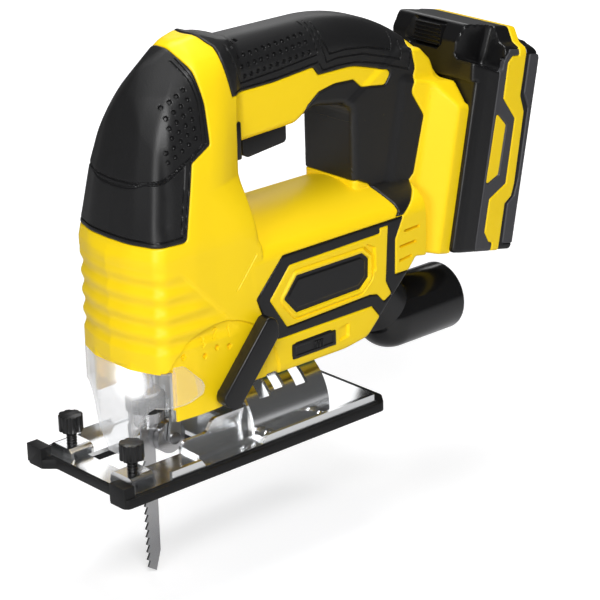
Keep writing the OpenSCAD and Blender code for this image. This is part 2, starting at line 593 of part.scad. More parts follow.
// ---- motor ------------------------------------------------------------------------------------
module at_motor() translate([0, 0, motor_z]) children();
module motor_can() color(steel) at_motor() difference() {
    x_rod(motor_d / 2, can_x, can_end);
    x_rod(motor_d / 2 - 1.2, can_x + 2, can_end - 2);
    x_rod(4.2, can_x - 1, can_x + 10);
    x_rod(6.5 + press_gap, can_end - 10, can_end + 1);
    for (a = [45:90:315]) x_rod(3, can_x - 1, can_end + 1, 14 * cos(a), 14 * sin(a));
}
module motor_magnets() color("#3b3b3e") at_motor() intersection() {
    x_ring(motor_d / 2 - 1.2 - press_gap, rotor_r + 0.6, can_x + 8, can_end - 14);
    both_sides() front_prism(can_x, can_end) polygon([[0, 0], [30, -22], [30, 22]]);
}
module rotor() color("#8a4b2a") at_motor() difference() {
    union() {
        x_rod(rotor_r, can_x + 10, can_x + 40);
        x_ring(rotor_r - 3, 5, can_x + 6, can_x + 10.5);
        x_ring(rotor_r - 3, 5, can_x + 39.5, can_x + 44);
    }
    for (k = [0:7]) rotate([k * 45, 0, 0]) box([can_x + 5, -0.9, rotor_r - 4], [can_x + 45, 0.9, rotor_r + 1]);
    x_rod(shaft_r + press_gap, can_x, can_end);
}
module armature_shaft() color(steel) at_motor() {
    x_rod(shaft_r, gear_x + 8, can_end + 3);
    x_rod(1.4, gear_x - 0.5, gear_x + 9);
}
module pinion() color(steel) at_motor() difference() {
    spur(pinion_teeth, gear_m, gear_x - 0.5, 8, 90 + 180 / pinion_teeth);
    x_rod(1.4 + press_gap, 0, 30);
}
module commutator() color(brass) at_motor() difference() {
    x_rod(6, can_x + 46, can_x + 53);
    x_rod(shaft_r + press_gap, can_x, can_end);
    for (k = [0:7]) rotate([k * 45, 0, 0]) box([can_x + 45, -0.25, 5], [can_x + 54, 0.25, 7]);
}
module fan() color(grey) at_motor() {
    x_ring(fan_d / 2, shaft_r + press_gap, fan_x, fan_x + 1.2);
    x_ring(5, shaft_r + press_gap, fan_x, fan_x + 6);
    for (k = [0:8]) rotate([k * 40, 0, 0]) box([fan_x + 1, -0.6, 4.5], [fan_x + 6, 0.6, fan_d / 2 - 0.6]);
}
module bearings() color(steel) at_motor() {
    x_ring(6.5, shaft_r + fit_gap, gearbox_x + 4.02, gearbox_x + 10);
    x_ring(6.5, shaft_r + fit_gap, can_end - 3.5, can_end + 1.5);
}
module brush_holders() color(brass) at_motor() both_sides()
    box([can_x + 46, 6.3, -3.5], [can_x + 53, motor_d / 2 - 1.9, 3.5]);
module circuit_board() color("#2d6b3c") {
    box([56, -21, body_z + 4.9], [can_end + 2, 21, body_z + 6.5]);
    for (k = [0:5]) translate([63 + 8 * k, -9, body_z + 6]) cylinder(r = 3, h = 8);
    box([62, 4, body_z + 6], [100, 16, body_z + 14]);
}

// ---- sole -------------------------------------------------------------------------------------
shoe_outline = [[-sole_front, -sole_half, 3], [sole_rear - 6, -sole_half, 4], [sole_rear, -sole_half + 8, 4],
    [sole_rear, sole_half - 8, 4], [sole_rear - 6, sole_half, 4], [-sole_front, sole_half, 3],
    [-sole_front, 26, 2], [5 - sole_front, 21, 2], [5 - sole_front, -21, 2], [-sole_front, -26, 2]];
plate_outline = [[6.5 - sole_front, -plate_half, 1], [sole_rear - 8, -plate_half, 3], [sole_rear - 3, 9 - plate_half, 3],
    [sole_rear - 3, plate_half - 9, 3], [sole_rear - 8, plate_half, 3], [6.5 - sole_front, plate_half, 1]];
module blade_opening() box([-24, -blade_gap, -5], [26, blade_gap, 20]);
module sole_shoe() color(black) difference() {
    union() {
        linear_extrude(shoe_t) polygon(outline(shoe_outline));
        linear_extrude(plate_z - 0.6) difference() {
            polygon(outline(shoe_outline));
            polygon(outline(inset(plate_outline, -press_gap)));
        }
        both_sides() box([-sole_front, 26, 1], [6 - sole_front, sole_half - 1, shoe_block_h]);
    }
    blade_opening();
    for (x = rivet_x, s = [-1, 1]) translate([x, s * rivet_y, shoe_t - 1.2]) cylinder(r = rivet_d / 2 + 1.6, h = 3);
}
module hump() {
    difference() {
        front_prism(knob_x - guide_slot_w / 2 - hump_wall, knob_x + guide_slot_w / 2 + hump_wall)
            polygon(outline([[14, plate_z - 0.5, 0], [32, plate_z - 0.5, 0], [30, hump_top, 3], [16, hump_top, 3]]));
        box([knob_x - guide_slot_w / 2, 10, plate_z], [knob_x + guide_slot_w / 2, 36, plate_z + guide_slot_h]);
        translate([knob_x, knob_y, plate_z]) cylinder(r = 2 + fit_gap, h = 20);
    }
}
module base_plate() color(zinc) difference() {
    union() {
        translate([0, 0, shoe_t]) linear_extrude(plate_t) polygon(outline(plate_outline));
        both_sides() difference() {
            box([-14, plate_half - 2, shoe_t + 0.5], [sole_rear - 10, plate_half, plate_z + flange_h]);
            side_prism(0, 60) polygon([[6, plate_z + 0.6], [41, plate_z + 0.6], [44, plate_z + flange_h + 1],
                [3, plate_z + flange_h + 1]]);
        }
        both_sides() hump();
    }
    blade_opening();
    for (x = rivet_x, s = [-1, 1]) translate([x, s * rivet_y, 0]) cylinder(r = rivet_d / 2 + press_gap, h = 10);
}
module bevel_saddle() color(zinc) difference() {
    union() {
        front_prism(saddle_x, saddle_x + saddle_len) {
            intersection() {
                translate([0, tilt_z]) difference() {
                    circle(r = saddle_r, $fn = 96);
                    circle(r = saddle_r - saddle_t, $fn = 96);
                }
                translate([-40, tilt_z]) square([80, 40]);
            }
        }
        both_sides() box([saddle_x, saddle_r - 2, plate_z],
            [saddle_x + saddle_len, plate_half - 2 - part_gap, plate_z + saddle_t]);
        // narrow channel between the blade and the saddle
        both_sides() {
            side_prism(channel_w - 2, channel_w) polygon(outline([[4, plate_z, 0], [saddle_x + 1, plate_z, 0],
                [saddle_x + 1, plate_z + 14, 2], [24, plate_z + 14, 4], [20, plate_z + 8, 4], [4, plate_z + 8, 4]]));
            box([9, channel_w - 1, plate_z], [saddle_x + 1, channel_w + 7, plate_z + saddle_t]);
        }
        box([30, -channel_w + 1, plate_z + 12], [saddle_x + 1, channel_w - 1, plate_z + 14]);
    }
    // arc slot for the bevel screw
    front_prism(bevel_x - 3.3, bevel_x + 3.3) polygon([[0, tilt_z], [40 * sin(53), tilt_z + 40 * cos(53)],
        [0, 60], [-40 * sin(53), tilt_z + 40 * cos(53)]]);
    // windows in the saddle's shoulders
    both_sides() for (x = [51.5, 74.5]) front_prism(x, x + 7.3) polygon([[0, tilt_z], [40 * cos(33), tilt_z + 40 * sin(33)],
        [40 * cos(57), tilt_z + 40 * sin(57)]]);
    for (x = rivet_x, s = [-1, 1]) translate([x, s * rivet_y, 0]) cylinder(r = rivet_d / 2 + press_gap, h = 10);
}
module saddle_rivets() color(steel) for (x = rivet_x, s = [-1, 1]) translate([x, s * rivet_y, 0]) {
    translate([0, 0, shoe_t - 1]) cylinder(r = rivet_d / 2 + 1.4, h = 1);
    translate([0, 0, shoe_t - 0.5]) cylinder(r = rivet_d / 2, h = 5);
    translate([0, 0, plate_z + saddle_t]) cylinder(r1 = rivet_d / 2 + 1, r2 = rivet_d / 2, h = 1.2);
}
module bevel_seat() color("#a9adb2") difference() {
    box([saddle_x, -14, 27], [saddle_x + saddle_len, 14, body_z]);
    x_rod(saddle_r + part_gap, 0, 120, 0, tilt_z);
    translate([bevel_x, 0, 20]) cylinder(r = 3 + press_gap, h = 20);
}
module bevel_screw() color(steel) {
    difference() {
        union() {
            translate([bevel_x, 0, 27]) cylinder(r = 3, h = 12.5);
            intersection() {
                x_ring(saddle_r - saddle_t - part_gap, saddle_r - saddle_t - 2.6, bevel_x - 8, bevel_x + 8, 0, tilt_z);
                box([bevel_x - 8, -8, tilt_z], [bevel_x + 8, 8, 40]);
            }
            translate([bevel_x, 0, 22]) cylinder(r = 5, h = 6.5);
        }
        translate([bevel_x, 0, 20]) cylinder(r = 2.9, h = 5, $fn = 6);
    }
}
module thumb_screw(side) color(black) translate([knob_x, side * knob_y, 0]) {
    difference() {
        translate([0, 0, thumb_top - 8]) cylinder(r = thumb_d / 2, h = 8);
        for (k = [0:7]) rotate([0, 0, k * 45]) translate([thumb_d / 2 + 0.9, 0, thumb_top - 9])
            cylinder(r = 1.5, h = 10, $fn = 24);
    }
    translate([0, 0, plate_z + guide_slot_h + 0.2]) cylinder(r = 2, h = thumb_top - 8.1 - plate_z - guide_slot_h);
    for (k = [0:3]) translate([0, 0, hump_top + 0.4 + k * 1.5]) cylinder(r = 2.5, h = 0.8);
}
module thumb_screw_left() thumb_screw(-1);
module thumb_screw_right() thumb_screw(1);

// ---- battery, in the rails' frame ----------------------------------------------------------------
batt_half = batt_w / 2;
batt_h = rail_len + batt_head;
button_v = rail_len + 17;         // foot of the release button
button_h = 11;
batt_side = [[0.4, 1, 2], [batt_d - 2, 1, 2], [batt_d, 3, 2], [batt_d, batt_h - 9, 3], [batt_d - 10, batt_h, 3],
    [-2, batt_h + 1, 3], [-2, rail_len + 10.3, 1], [0.4, rail_len + 10.3, 0]];
band_front = [[27, -5], [27, 5.4], [24.7, 5.8], [20.5, 11], [20.5, 28], [30.6, 35.6], [30.6, batt_h - 39],
    [20, batt_h - 29.4], [20, batt_h - 11.6], [22.6, batt_h - 8.4], [27.3, batt_h - 8], [27.3, batt_h + 12]];
band_back = [[32.4, -5], [32.4, 25.3], [36.2, 29], [37.2, 35.4], [37.2, batt_h - 36], [32.4, batt_h - 28],
    [32.4, batt_h + 12]];
function turned(v) = [for (i = [len(v) - 1:-1:0]) v[i]];
module battery_form() intersection() {
    side_prism(-60, 60) polygon(outline(batt_side));
    translate([0, 0, -5]) linear_extrude(batt_h + 20) polygon(outline([[-4, -batt_half + 2, 3], [6, -batt_half, 8],
        [batt_d + 1, -batt_half, 6], [batt_d + 1, batt_half, 6], [6, batt_half, 8], [-4, batt_half - 2, 3]]));
}
module battery_space() {
    // cell bay, rail channel, contact slots and the button's pocket
    box([7.8, -33.6, 4.5], [41.3, 33.6, rail_len]);
    box([-3, -tongue_w / 2 + 2.5 - part_gap, -2], [tongue_d, tongue_w / 2 - 2.5 + part_gap, rail_len + 1.5]);
    box([tongue_d - 2.5 - part_gap, -tongue_w / 2 - part_gap, -2], [tongue_d + part_gap, tongue_w / 2 + part_gap,
        rail_len + 1.5]);
    for (y = [-9, -3, 3, 9]) box([0.9, y - 0.8, rail_len], [tongue_d + 0.2, y + 0.8, rail_len + 14]);
    box([-4, -9 - part_gap, button_v - part_gap], [8.6, 9 + part_gap, button_v + button_h + part_gap]);
}
module battery_case() color(black) along_rail() difference() {
    battery_form();
    battery_space();
    side_prism(-60, 60) polygon(concat(band_front, [[60, batt_h + 12], [60, -5]]));
}
module battery_band() color(yellow) along_rail() difference() {
    intersection() {
        battery_form();
        side_prism(-60, 60) polygon(concat(band_front, turned(band_back)));
    }
    battery_space();
}
module battery_cover() color(grey) along_rail() difference() {
    battery_form();
    battery_space();
    side_prism(-60, 60) polygon(concat([[-20, -5]], band_back, [[-20, batt_h + 12]]));
}
module battery_cells() color("#4d8fbf") along_rail() for (k = [0:4])
    y_rod(9, -32.5, 32.5, 17.2 + 14.6 * (k % 2), 14 + k * 12);
module release_button() color(black) along_rail() difference() {
    box([-3.6, -9, button_v], [4, 9, button_v + button_h]);
    for (k = [0:4]) box([-5, -7.5, button_v + 1.2 + k * 1.9], [-3, 7.5, button_v + 2.2 + k * 1.9]);
}
module contact_block() color(grey) {
    intersection() {
        contact_pocket(press_gap);
        along_rail() box([-20, -20, 20], [tongue_d - 0.5, 20, rail_len - 0.2]);
    }
    along_rail() for (y = [-9, -3, 3, 9]) box([1.6, y - 0.4, rail_len - 3], [5, y + 0.4, rail_len + 12]);
}

left_housing();
right_housing();
nose_grip_left();
nose_grip_right();
handle_grip_left();
handle_grip_right();
side_bands();
badge_plates();
housing_screws();
clear_guard();
dust_port();
led_lens();
trigger();
trigger_spring();
lock_off_button();
switch_module();
orbital_lever();
lever_cam();
blower_bezel();
blower_slider();
plunger();
yoke();
blade_clamp();
clamp_collar();
blade();
plunger_carrier();
plunger_bushes();
pivot_pins();
pendulum_fork();
guide_roller();
roller_axle();
gearbox_plate();
gear_axle();
crank_gear();
crank_roller();
motor_can();
motor_magnets();
rotor();
armature_shaft();
pinion();
commutator();
fan();
bearings();
brush_holders();
circuit_board();
bevel_seat();
bevel_screw();
base_plate();
sole_shoe();
bevel_saddle();
saddle_rivets();
thumb_screw_left();
thumb_screw_right();
contact_block();
battery_case();
battery_band();
battery_cover();
battery_cells();
release_button();
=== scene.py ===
# %% [markdown]
# # A cordless jigsaw, dressed around its frame
# The frame is the working model of the saw: every piece at its real size, on the body that it moves with.
# This lesson gives it its looks. The moulded shells and soft grips flow into each other, which is hard to
# get from boxes and bevels, so they are worked out with numpy as surfaces of one rounded form. The small
# machined parts already have their real shape, so they keep their own meshes and only get better finishes.

# %% Load the frame
import json

import bmesh
import bpy
import numpy as np
from mathutils import Matrix, Vector

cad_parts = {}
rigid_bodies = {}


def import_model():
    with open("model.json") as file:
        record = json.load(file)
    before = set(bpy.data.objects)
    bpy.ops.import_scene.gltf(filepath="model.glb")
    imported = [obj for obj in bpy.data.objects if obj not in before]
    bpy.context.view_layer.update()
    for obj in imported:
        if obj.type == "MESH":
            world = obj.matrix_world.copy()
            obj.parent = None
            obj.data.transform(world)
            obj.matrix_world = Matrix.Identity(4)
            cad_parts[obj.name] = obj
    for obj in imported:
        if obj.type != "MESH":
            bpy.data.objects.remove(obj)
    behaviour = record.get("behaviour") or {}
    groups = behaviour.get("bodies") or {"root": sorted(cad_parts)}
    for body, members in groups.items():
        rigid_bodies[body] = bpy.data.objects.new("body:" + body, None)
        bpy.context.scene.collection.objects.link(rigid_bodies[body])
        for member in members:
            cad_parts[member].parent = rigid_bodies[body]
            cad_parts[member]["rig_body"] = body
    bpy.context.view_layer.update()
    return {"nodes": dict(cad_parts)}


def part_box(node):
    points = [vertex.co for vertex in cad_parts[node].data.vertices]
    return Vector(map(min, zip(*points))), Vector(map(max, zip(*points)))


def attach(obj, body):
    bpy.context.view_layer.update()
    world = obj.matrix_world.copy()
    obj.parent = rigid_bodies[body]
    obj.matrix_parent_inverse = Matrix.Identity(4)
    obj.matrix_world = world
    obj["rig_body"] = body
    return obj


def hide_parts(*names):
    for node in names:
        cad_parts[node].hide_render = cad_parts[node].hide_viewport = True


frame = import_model()
nodes = frame["nodes"]
MM = 0.001


def corner_of(node):
    """Lowest and highest corner of a node, in millimetres."""
    low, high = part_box(node)
    return np.array(low) / MM, np.array(high) / MM


# %% [markdown]
# ## Meshes from arrays
# Every moulded piece of the saw starts as a grid of points. A mesh could be built face by face in Edit Mode
# or with a loop, but whole arrays are quicker and never leave a stray face, so one helper turns a grid into
# a mesh. Neighbouring points make quads, and grids that share an edge are welded, so that light runs over
# the seam.

# %% Grid helper
def grid_faces(rows, columns, start=0):
    """Quads between neighbours: corner (i, j), (i, j+1), (i+1, j+1), (i+1, j), counted from start."""
    i, j = np.meshgrid(np.arange(rows - 1), np.arange(columns - 1), indexing="ij")
    a = (i * columns + j).ravel() + start
    return np.stack([a, a + 1, a + columns + 1, a + columns], 1)


def new_object(name, data):
    """An object for a mesh, a lamp or a camera, linked into the scene."""
    made = bpy.data.objects.new(name, data)
    bpy.context.scene.collection.objects.link(made)
    return made


def mesh_object(name, points, faces, weld, sharp):
    """Makes an object from points in millimetres and faces of three or four corners, and welds points that
    are closer than weld millimetres. Edges steeper than sharp degrees stay crisp."""
    mesh = bpy.data.meshes.new(name)
    points, faces = np.asarray(points, np.float32) * MM, np.asarray(faces, np.int32)
    mesh.vertices.add(len(points))
    mesh.vertices.foreach_set("co", points.ravel())
    mesh.loops.add(faces.size)
    mesh.loops.foreach_set("vertex_index", faces.ravel())
    mesh.polygons.add(len(faces))
    mesh.polygons.foreach_set("loop_start", np.arange(0, faces.size, faces.shape[1], dtype=np.int32))
    mesh.update(calc_edges=True)
    mesh.validate()
    piece = new_object(name, mesh)
    if weld:
        bm = bmesh.new()
        bm.from_mesh(mesh)
        bmesh.ops.remove_doubles(bm, verts=bm.verts, dist=weld * MM)
        bm.to_mesh(mesh)
        bm.free()
    mesh.shade_smooth()
    if sharp:
        mesh.set_sharp_from_angle(angle=np.radians(sharp))
    return piece


def grids_object(name, grids, sharp=None):
    """One object from several grids, each an array of rows x columns x 3 in millimetres."""
    points, quads, count = [], [], 0
    for g in grids:
        points.append(g.reshape(-1, 3))
        quads.append(grid_faces(g.shape[0], g.shape[1], count))
        count += g.shape[0] * g.shape[1]
    return mesh_object(name, np.concatenate(points), np.concatenate(quads), 0.02, sharp)


def dress(piece, body, slot, material, *replaced):
    """Rides a finished piece on its body, hides the nodes that it stands for, and paints it; slot is not
    used.
    """
    piece.data.materials.clear()
    piece.data.materials.append(material)
    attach(piece, body)
    if replaced:
        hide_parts(*replaced)
    print(piece.name, len(piece.data.polygons), "faces")
    return piece


print("a grid of 3 x 4 points has", len(grid_faces(3, 4)), "quads")

# %% [markdown]
# ## Finishes
# The saw is mostly moulded plastic: glossy yellow, and black with a fine grain where the hand holds it. An
# image could carry that grain, but it would need an unwrap, so noise in Object coordinates does it. What
# several finishes share is a node group that puts out a height and a mask, and each material adds its own
# values.

# %% Grain group
def grain_group():
    """Moulding grain: fine noise for bumps, and slow noise for patches of colour and roughness."""
    group = bpy.data.node_groups.new("moulding_grain", "ShaderNodeTree")
    for label, value in (("Grain Scale", 900.0), ("Patch Scale", 25.0)):
        socket = group.interface.new_socket(label, in_out="INPUT", socket_type="NodeSocketFloat")
        socket.default_value = value
    for label in ("Height", "Patches"):
        group.interface.new_socket(label, in_out="OUTPUT", socket_type="NodeSocketFloat")
    add, link = group.nodes.new, group.links.new
    given, out = add("NodeGroupInput"), add("NodeGroupOutput")
    place = add("ShaderNodeTexCoord")
    for label, target in (("Grain Scale", "Height"), ("Patch Scale", "Patches")):
        noise = add("ShaderNodeTexNoise")
        noise.inputs["Detail"].default_value = 3.0
        link(place.outputs["Object"], noise.inputs["Vector"])
        link(given.outputs[label], noise.inputs["Scale"])
        link(noise.outputs["Fac"], out.inputs[target])
    return group


GRAIN = grain_group()
print("the grain group's sockets:", [item.name for item in GRAIN.interface.items_tree])


def give(node, values):
    """Sets the inputs of a node by their labels."""
    for label, value in values.items():
        node.inputs[label].default_value = value


def mix_colour(tree, fac, first, second):
    """A Mix node between two colours by a mask."""
    mix = tree.nodes.new("ShaderNodeMix")
    mix.data_type = "RGBA"
    give(mix, {"A": (*first, 1), "B": (*second, 1)})
    tree.links.new(fac, mix.inputs["Factor"])
    return mix.outputs["Result"]


def remap(tree, value, low, high, start=0.0, end=1.0, curve="LINEAR"):
    """A value from start to end, carried to low to high."""
    node = tree.nodes.new("ShaderNodeMapRange")
    node.interpolation_type = curve
    give(node, {"From Min": start, "From Max": end, "To Min": low, "To Max": high})
    tree.links.new(value, node.inputs["Value"])
    return node.outputs["Result"]


def maths(tree, operation, first, second):
    """A Math node on two values."""
    node = tree.nodes.new("ShaderNodeMath")
    node.operation = operation
    tree.links.new(first, node.inputs[0])
    tree.links.new(second, node.inputs[1])
    return node.outputs["Value"]


def distance_from(tree, point):
    """How far the shaded place lies from a point, in metres."""
    place, away = tree.nodes.new("ShaderNodeTexCoord"), tree.nodes.new("ShaderNodeVectorMath")
    away.operation = "DISTANCE"
    away.inputs[1].default_value = point
    tree.links.new(place.outputs["Object"], away.inputs[0])
    return away.outputs["Value"]


def new_material(name):
    """A new material, its node tree and its Principled shader."""
    material = bpy.data.materials.new(name)
    material.use_nodes = True
    return material, material.node_tree, material.node_tree.nodes["Principled BSDF"]


GRAIN_DEPTH = 0.0001


def finish_material(name, colour, rough, grain=900.0, bump=0.1, patch=0.06, metallic=0.0, gloss=0.5):
    """Principled material: the slow patches vary colour and roughness, and the fine grain gives the bump."""
    material, tree, shader = new_material(name)
    group = tree.nodes.new("ShaderNodeGroup")
    group.node_tree = GRAIN
    group.inputs["Grain Scale"].default_value = grain
    dark = [c * (1 - patch) for c in colour]
    light = [min(1, c * (1 + patch)) for c in colour]
    tree.links.new(mix_colour(tree, group.outputs["Patches"], dark, light), shader.inputs["Base Color"])
    tree.links.new(remap(tree, group.outputs["Patches"], rough * 0.85, min(1, rough * 1.15)),
                   shader.inputs["Roughness"])
    give(shader, {"Metallic": metallic, "Specular IOR Level": gloss})
    bumps = tree.nodes.new("ShaderNodeBump")
    give(bumps, {"Strength": bump, "Distance": GRAIN_DEPTH})
    tree.links.new(group.outputs["Height"], bumps.inputs["Height"])
    tree.links.new(bumps.outputs["Normal"], shader.inputs["Normal"])
    return material


# %% Materials
YELLOW, JET = (1.0, 0.69, 0.0055), (0.006, 0.006, 0.0065)
shell_yellow = finish_material("shell_yellow", YELLOW, 0.42, bump=0.04, patch=0.02, gloss=0.35)
grip_black = finish_material("grip_black", (0.010, 0.010, 0.0105), 0.42, grain=1300.0, bump=0.5, patch=0.12,
                             gloss=0.4)
plastic_black = finish_material("plastic_black", JET, 0.3, bump=0.08, gloss=0.4)
port_black = finish_material("port_black", JET, 0.16, bump=0.02)
shoe_black = finish_material("shoe_black", JET, 0.5, bump=0.3, gloss=0.3)
plastic_grey = finish_material("plastic_grey", (0.045, 0.045, 0.05), 0.45, bump=0.12)
steel = finish_material("steel", (0.56, 0.56, 0.57), 0.26, metallic=1.0, patch=0.1, bump=0.05)
dark_steel = finish_material("dark_steel", (0.16, 0.15, 0.14), 0.36, metallic=1.0, patch=0.15)
zinc = finish_material("zinc", (0.86, 0.87, 0.88), 0.2, metallic=1.0, patch=0.05, bump=0.03)
alloy = finish_material("alloy", (0.60, 0.61, 0.62), 0.42, metallic=1.0, bump=0.3)
brass = finish_material("brass", (0.72, 0.50, 0.20), 0.3, metallic=1.0)
copper = finish_material("copper", (0.62, 0.25, 0.12), 0.35, metallic=1.0)
magnet = finish_material("magnet", (0.05, 0.05, 0.055), 0.6)
board_green = finish_material("board_green", (0.02, 0.12, 0.05), 0.5)
cell_wrap = finish_material("cell_wrap", (0.04, 0.22, 0.45), 0.35)
print("made", len(bpy.data.materials), "finishes")

# %% [markdown]
# ## The clear guard
# The guard is a clear moulding that a lamp lights from inside. Real glass nodes would bend the light and
# hide the blade in noise, so the surface is mixed instead: clear where it faces the eye, a pale gloss where
# it turns away, and a painted glow, white emission close to the lamp, that stands in for the lamp's light.

# %% Clear guard
# centre of the guard's painted glow, in metres, beside the work lamp
PAINTED_GLOW_CENTRE = (-0.0158, -0.010, 0.048)


def clear_material():
    """Clear guard: see-through face on, pale at grazing angles, and a painted glow, white emission, round the
    lamp.
    """
    material, tree, shader = new_material("guard_clear")
    give(shader, {"Base Color": (0.9, 0.91, 0.93, 1), "Roughness": 0.06,
                  "Emission Color": (1.0, 1.0, 1.0, 1)})
    # painted glow: white emission that stands in for the lamp's light, full within 2 mm of the centre and
    # gone at 15 mm; it also makes the guard less clear there
    near = remap(tree, distance_from(tree, PAINTED_GLOW_CENTRE), 0.0, 1.0, 0.015, 0.002, "SMOOTHSTEP")
    tree.links.new(near, shader.inputs["Emission Strength"])
    facing = tree.nodes.new("ShaderNodeLayerWeight")
    facing.inputs["Blend"].default_value = 0.35
    pale = remap(tree, facing.outputs["Facing"], 0.07, 0.75)
    cover = maths(tree, "MAXIMUM", pale, remap(tree, near, 0.0, 0.85))
    clear, mixed = tree.nodes.new("ShaderNodeBsdfTransparent"), tree.nodes.new("ShaderNodeMixShader")
    tree.links.new(cover, mixed.inputs["Fac"])
    tree.links.new(clear.outputs["BSDF"], mixed.inputs[1])
    tree.links.new(shader.outputs["BSDF"], mixed.inputs[2])
    tree.links.new(mixed.outputs["Shader"], tree.nodes["Material Output"].inputs["Surface"])
    return material


guard_clear = clear_material()
print("guard glows round", PAINTED_GLOW_CENTRE)

# %% [markdown]
# ## Finishes for the machined parts
# Shafts, gears, screws and pressed plates already have their real shape in the frame. Copying them would
# only add meshes, so these nodes stay, and a table gives each the finish of its metal or plastic.

# %% Paint the nodes
PAINT = {
    shell_yellow: ["left_housing", "right_housing", "battery_band"],
    grip_black: ["nose_grip_left", "nose_grip_right", "handle_grip_left", "handle_grip_right"],
    plastic_black: ["side_bands", "badge_plates", "dust_port", "trigger", "lock_off_button", "orbital_lever",
                    "blower_bezel", "blower_slider", "thumb_screw_left", "thumb_screw_right", "battery_case",
                    "release_button", "clamp_collar"],
    shoe_black: ["sole_shoe"],
    plastic_grey: ["battery_cover", "switch_module", "lever_cam", "fan", "contact_block"],
    steel: ["housing_screws", "trigger_spring", "plunger", "blade_clamp", "blade", "guide_roller",
            "roller_axle", "armature_shaft", "pinion", "bearings", "gear_axle", "crank_roller", "pivot_pins",
            "saddle_rivets", "bevel_screw", "motor_can"],
    dark_steel: ["yoke", "crank_gear"],
    zinc: ["base_plate", "bevel_saddle"],
    alloy: ["plunger_carrier", "pendulum_fork", "gearbox_plate", "bevel_seat"],
    brass: ["plunger_bushes", "commutator", "brush_holders"],
    copper: ["rotor"],
    magnet: ["motor_magnets"],
    board_green: ["circuit_board"],
    cell_wrap: ["battery_cells"],
    guard_clear: ["clear_guard", "led_lens"],
}
for material, names in PAINT.items():
    for name in names:
        nodes[name].data.materials.clear()
        nodes[name].data.materials.append(material)
print("painted", sum(map(len, PAINT.values())), "of", len(nodes), "nodes")

# %% [markdown]
# ## The rounded form of the body
# The shells, the soft grips and the bands are all layers of one moulded form. Sculpting it would be slow to
# change, and joined solids leave sharp creases, so the form is a field: a number for every point in space
# that is negative inside and grows to about the distance outside. Zones are cut from outlines, and where
# two zones meet the shared edge gets a radius.

# %% Outlines
def rounded(corners, steps):
    """Corners as x, z, radius become points: each corner gives an arc that touches both its edges. The centre
    lies on the corner's bisector, radius / sin(half the corner's angle) away."""
    c = np.array(corners, float)
    corner, r = c[:, :2], c[:, 2]
    back = np.roll(corner, 1, 0) - corner
    ahead = np.roll(corner, -1, 0) - corner
    back /= np.linalg.norm(back, axis=1, keepdims=True)
    ahead /= np.linalg.norm(ahead, axis=1, keepdims=True)
    half = np.arccos(np.clip((back * ahead).sum(1), -1, 1)) / 2
    bisector = (back + ahead) / np.linalg.norm(back + ahead, axis=1, keepdims=True)
    centre = corner + bisector * (r / np.sin(half))[:, None]
    reach = (r / np.tan(half))[:, None]
    a, b = corner + back * reach - centre, corner + ahead * reach - centre
    k = np.linspace(0, 1, steps)[:, None, None]
    arc = a * (1 - k) + b * k
    arc *= (r / np.maximum(np.linalg.norm(arc, axis=2), 1e-9))[..., None]
    arc[:, r == 0] = 0
    points = (centre + arc).transpose(1, 0, 2).reshape(-1, 2)
    return points[np.linalg.norm(points - np.roll(points, 1, 0), axis=1) > 1e-6]


def edge_distance(x, z, start, end):
    """Distance to a straight edge: the nearest place lies at the share t of the way from start to end."""
    (x0, z0), ex, ez = start, end[0] - start[0], end[1] - start[1]
    t = np.clip(((x - x0) * ex + (z - z0) * ez) / (ex * ex + ez * ez), 0, 1)
    return np.hypot(x - x0 - t * ex, z - z0 - t * ez)


def outline_field(x, z, points):
    """Signed distance to a closed outline: nearest edge, negative inside by counting crossings."""
    nearest = np.full(x.shape, 1e9)
    within = np.zeros(x.shape, bool)
    for (x0, z0), (x1, z1) in zip(points, np.roll(points, -1, 0)):
        nearest = np.minimum(nearest, edge_distance(x, z, (x0, z0), (x1, z1)))
        if z1 != z0:
            within ^= ((z0 > z) != (z1 > z)) & (x < (z - z0) * (x1 - x0) / (z1 - z0) + x0)
    return np.where(within, -1, 1) * nearest


def lookup(points, cell=0.5, margin=16):
    """A quick form of outline_field: true distances on a lattice, blended linearly inside each cell."""
    low = points.min(0) - margin
    rows, columns = np.ceil((points.max(0) + margin - low) / cell).astype(int) + 1
    x, z = np.meshgrid(low[0] + cell * np.arange(rows), low[1] + cell * np.arange(columns), indexing="ij")
    table = outline_field(x, z, points).ravel()

    def look(x, z):
        i = np.clip((x - low[0]) / cell, 0, rows - 1.001)
        j = np.clip((z - low[1]) / cell, 0, columns - 1.001)
        a, b = i.astype(int), j.astype(int)
        f, g, k = i - a, j - b, a * columns + b
        near = table[k] * (1 - g) + table[k + 1] * g
        far = table[k + columns] * (1 - g) + table[k + columns + 1] * g
        return near * (1 - f) + far * f
    return look


def outline(*corners, steps=5):
    """The distance to a closed outline with rounded corners, each given as across, up and radius."""
    return lookup(rounded(corners, steps))


square = outline((0, 0, 1), (10, 0, 1), (10, 10, 1), (0, 10, 1))
print("middle of a 10 mm square:", square(np.array([5.0]), np.array([5.0])))

# %% Meeting and joining
def meet(a, b, r):
    """Where two zones overlap, with their shared edge rounded to radius r."""
    return np.minimum(-r, np.maximum(a, b)) + np.hypot(np.maximum(a + r, 0), np.maximum(b + r, 0))


def join(a, b, r):
    """Two zones together, with a fillet of radius r between them."""
    return np.maximum(r, np.minimum(a, b)) - np.hypot(np.maximum(r - a, 0), np.maximum(r - b, 0))


def slant(x, y, z, at, way):
    """How far a point lies past the slanted plane through at that faces way."""
    return (x - at[0]) * way[0] + (y - at[1]) * way[1] + (z - at[2]) * way[2]


print("corner of two 1 mm deep zones:", meet(np.array([-1.0]), np.array([-1.0]), 3))

# %% [markdown]
# ## Zones of the body
# Seen from the side the body has one outline with the hand opening in it. The nose is as wide as its plan
# and its front view allow. The motor bulge is an arch along the tool, the handle a rounded bar that bends
# down in an arc, and the rails for the battery lean back by 11.5 degrees. Each is one short function, so
# that one part of the saw can be changed without touching the others.

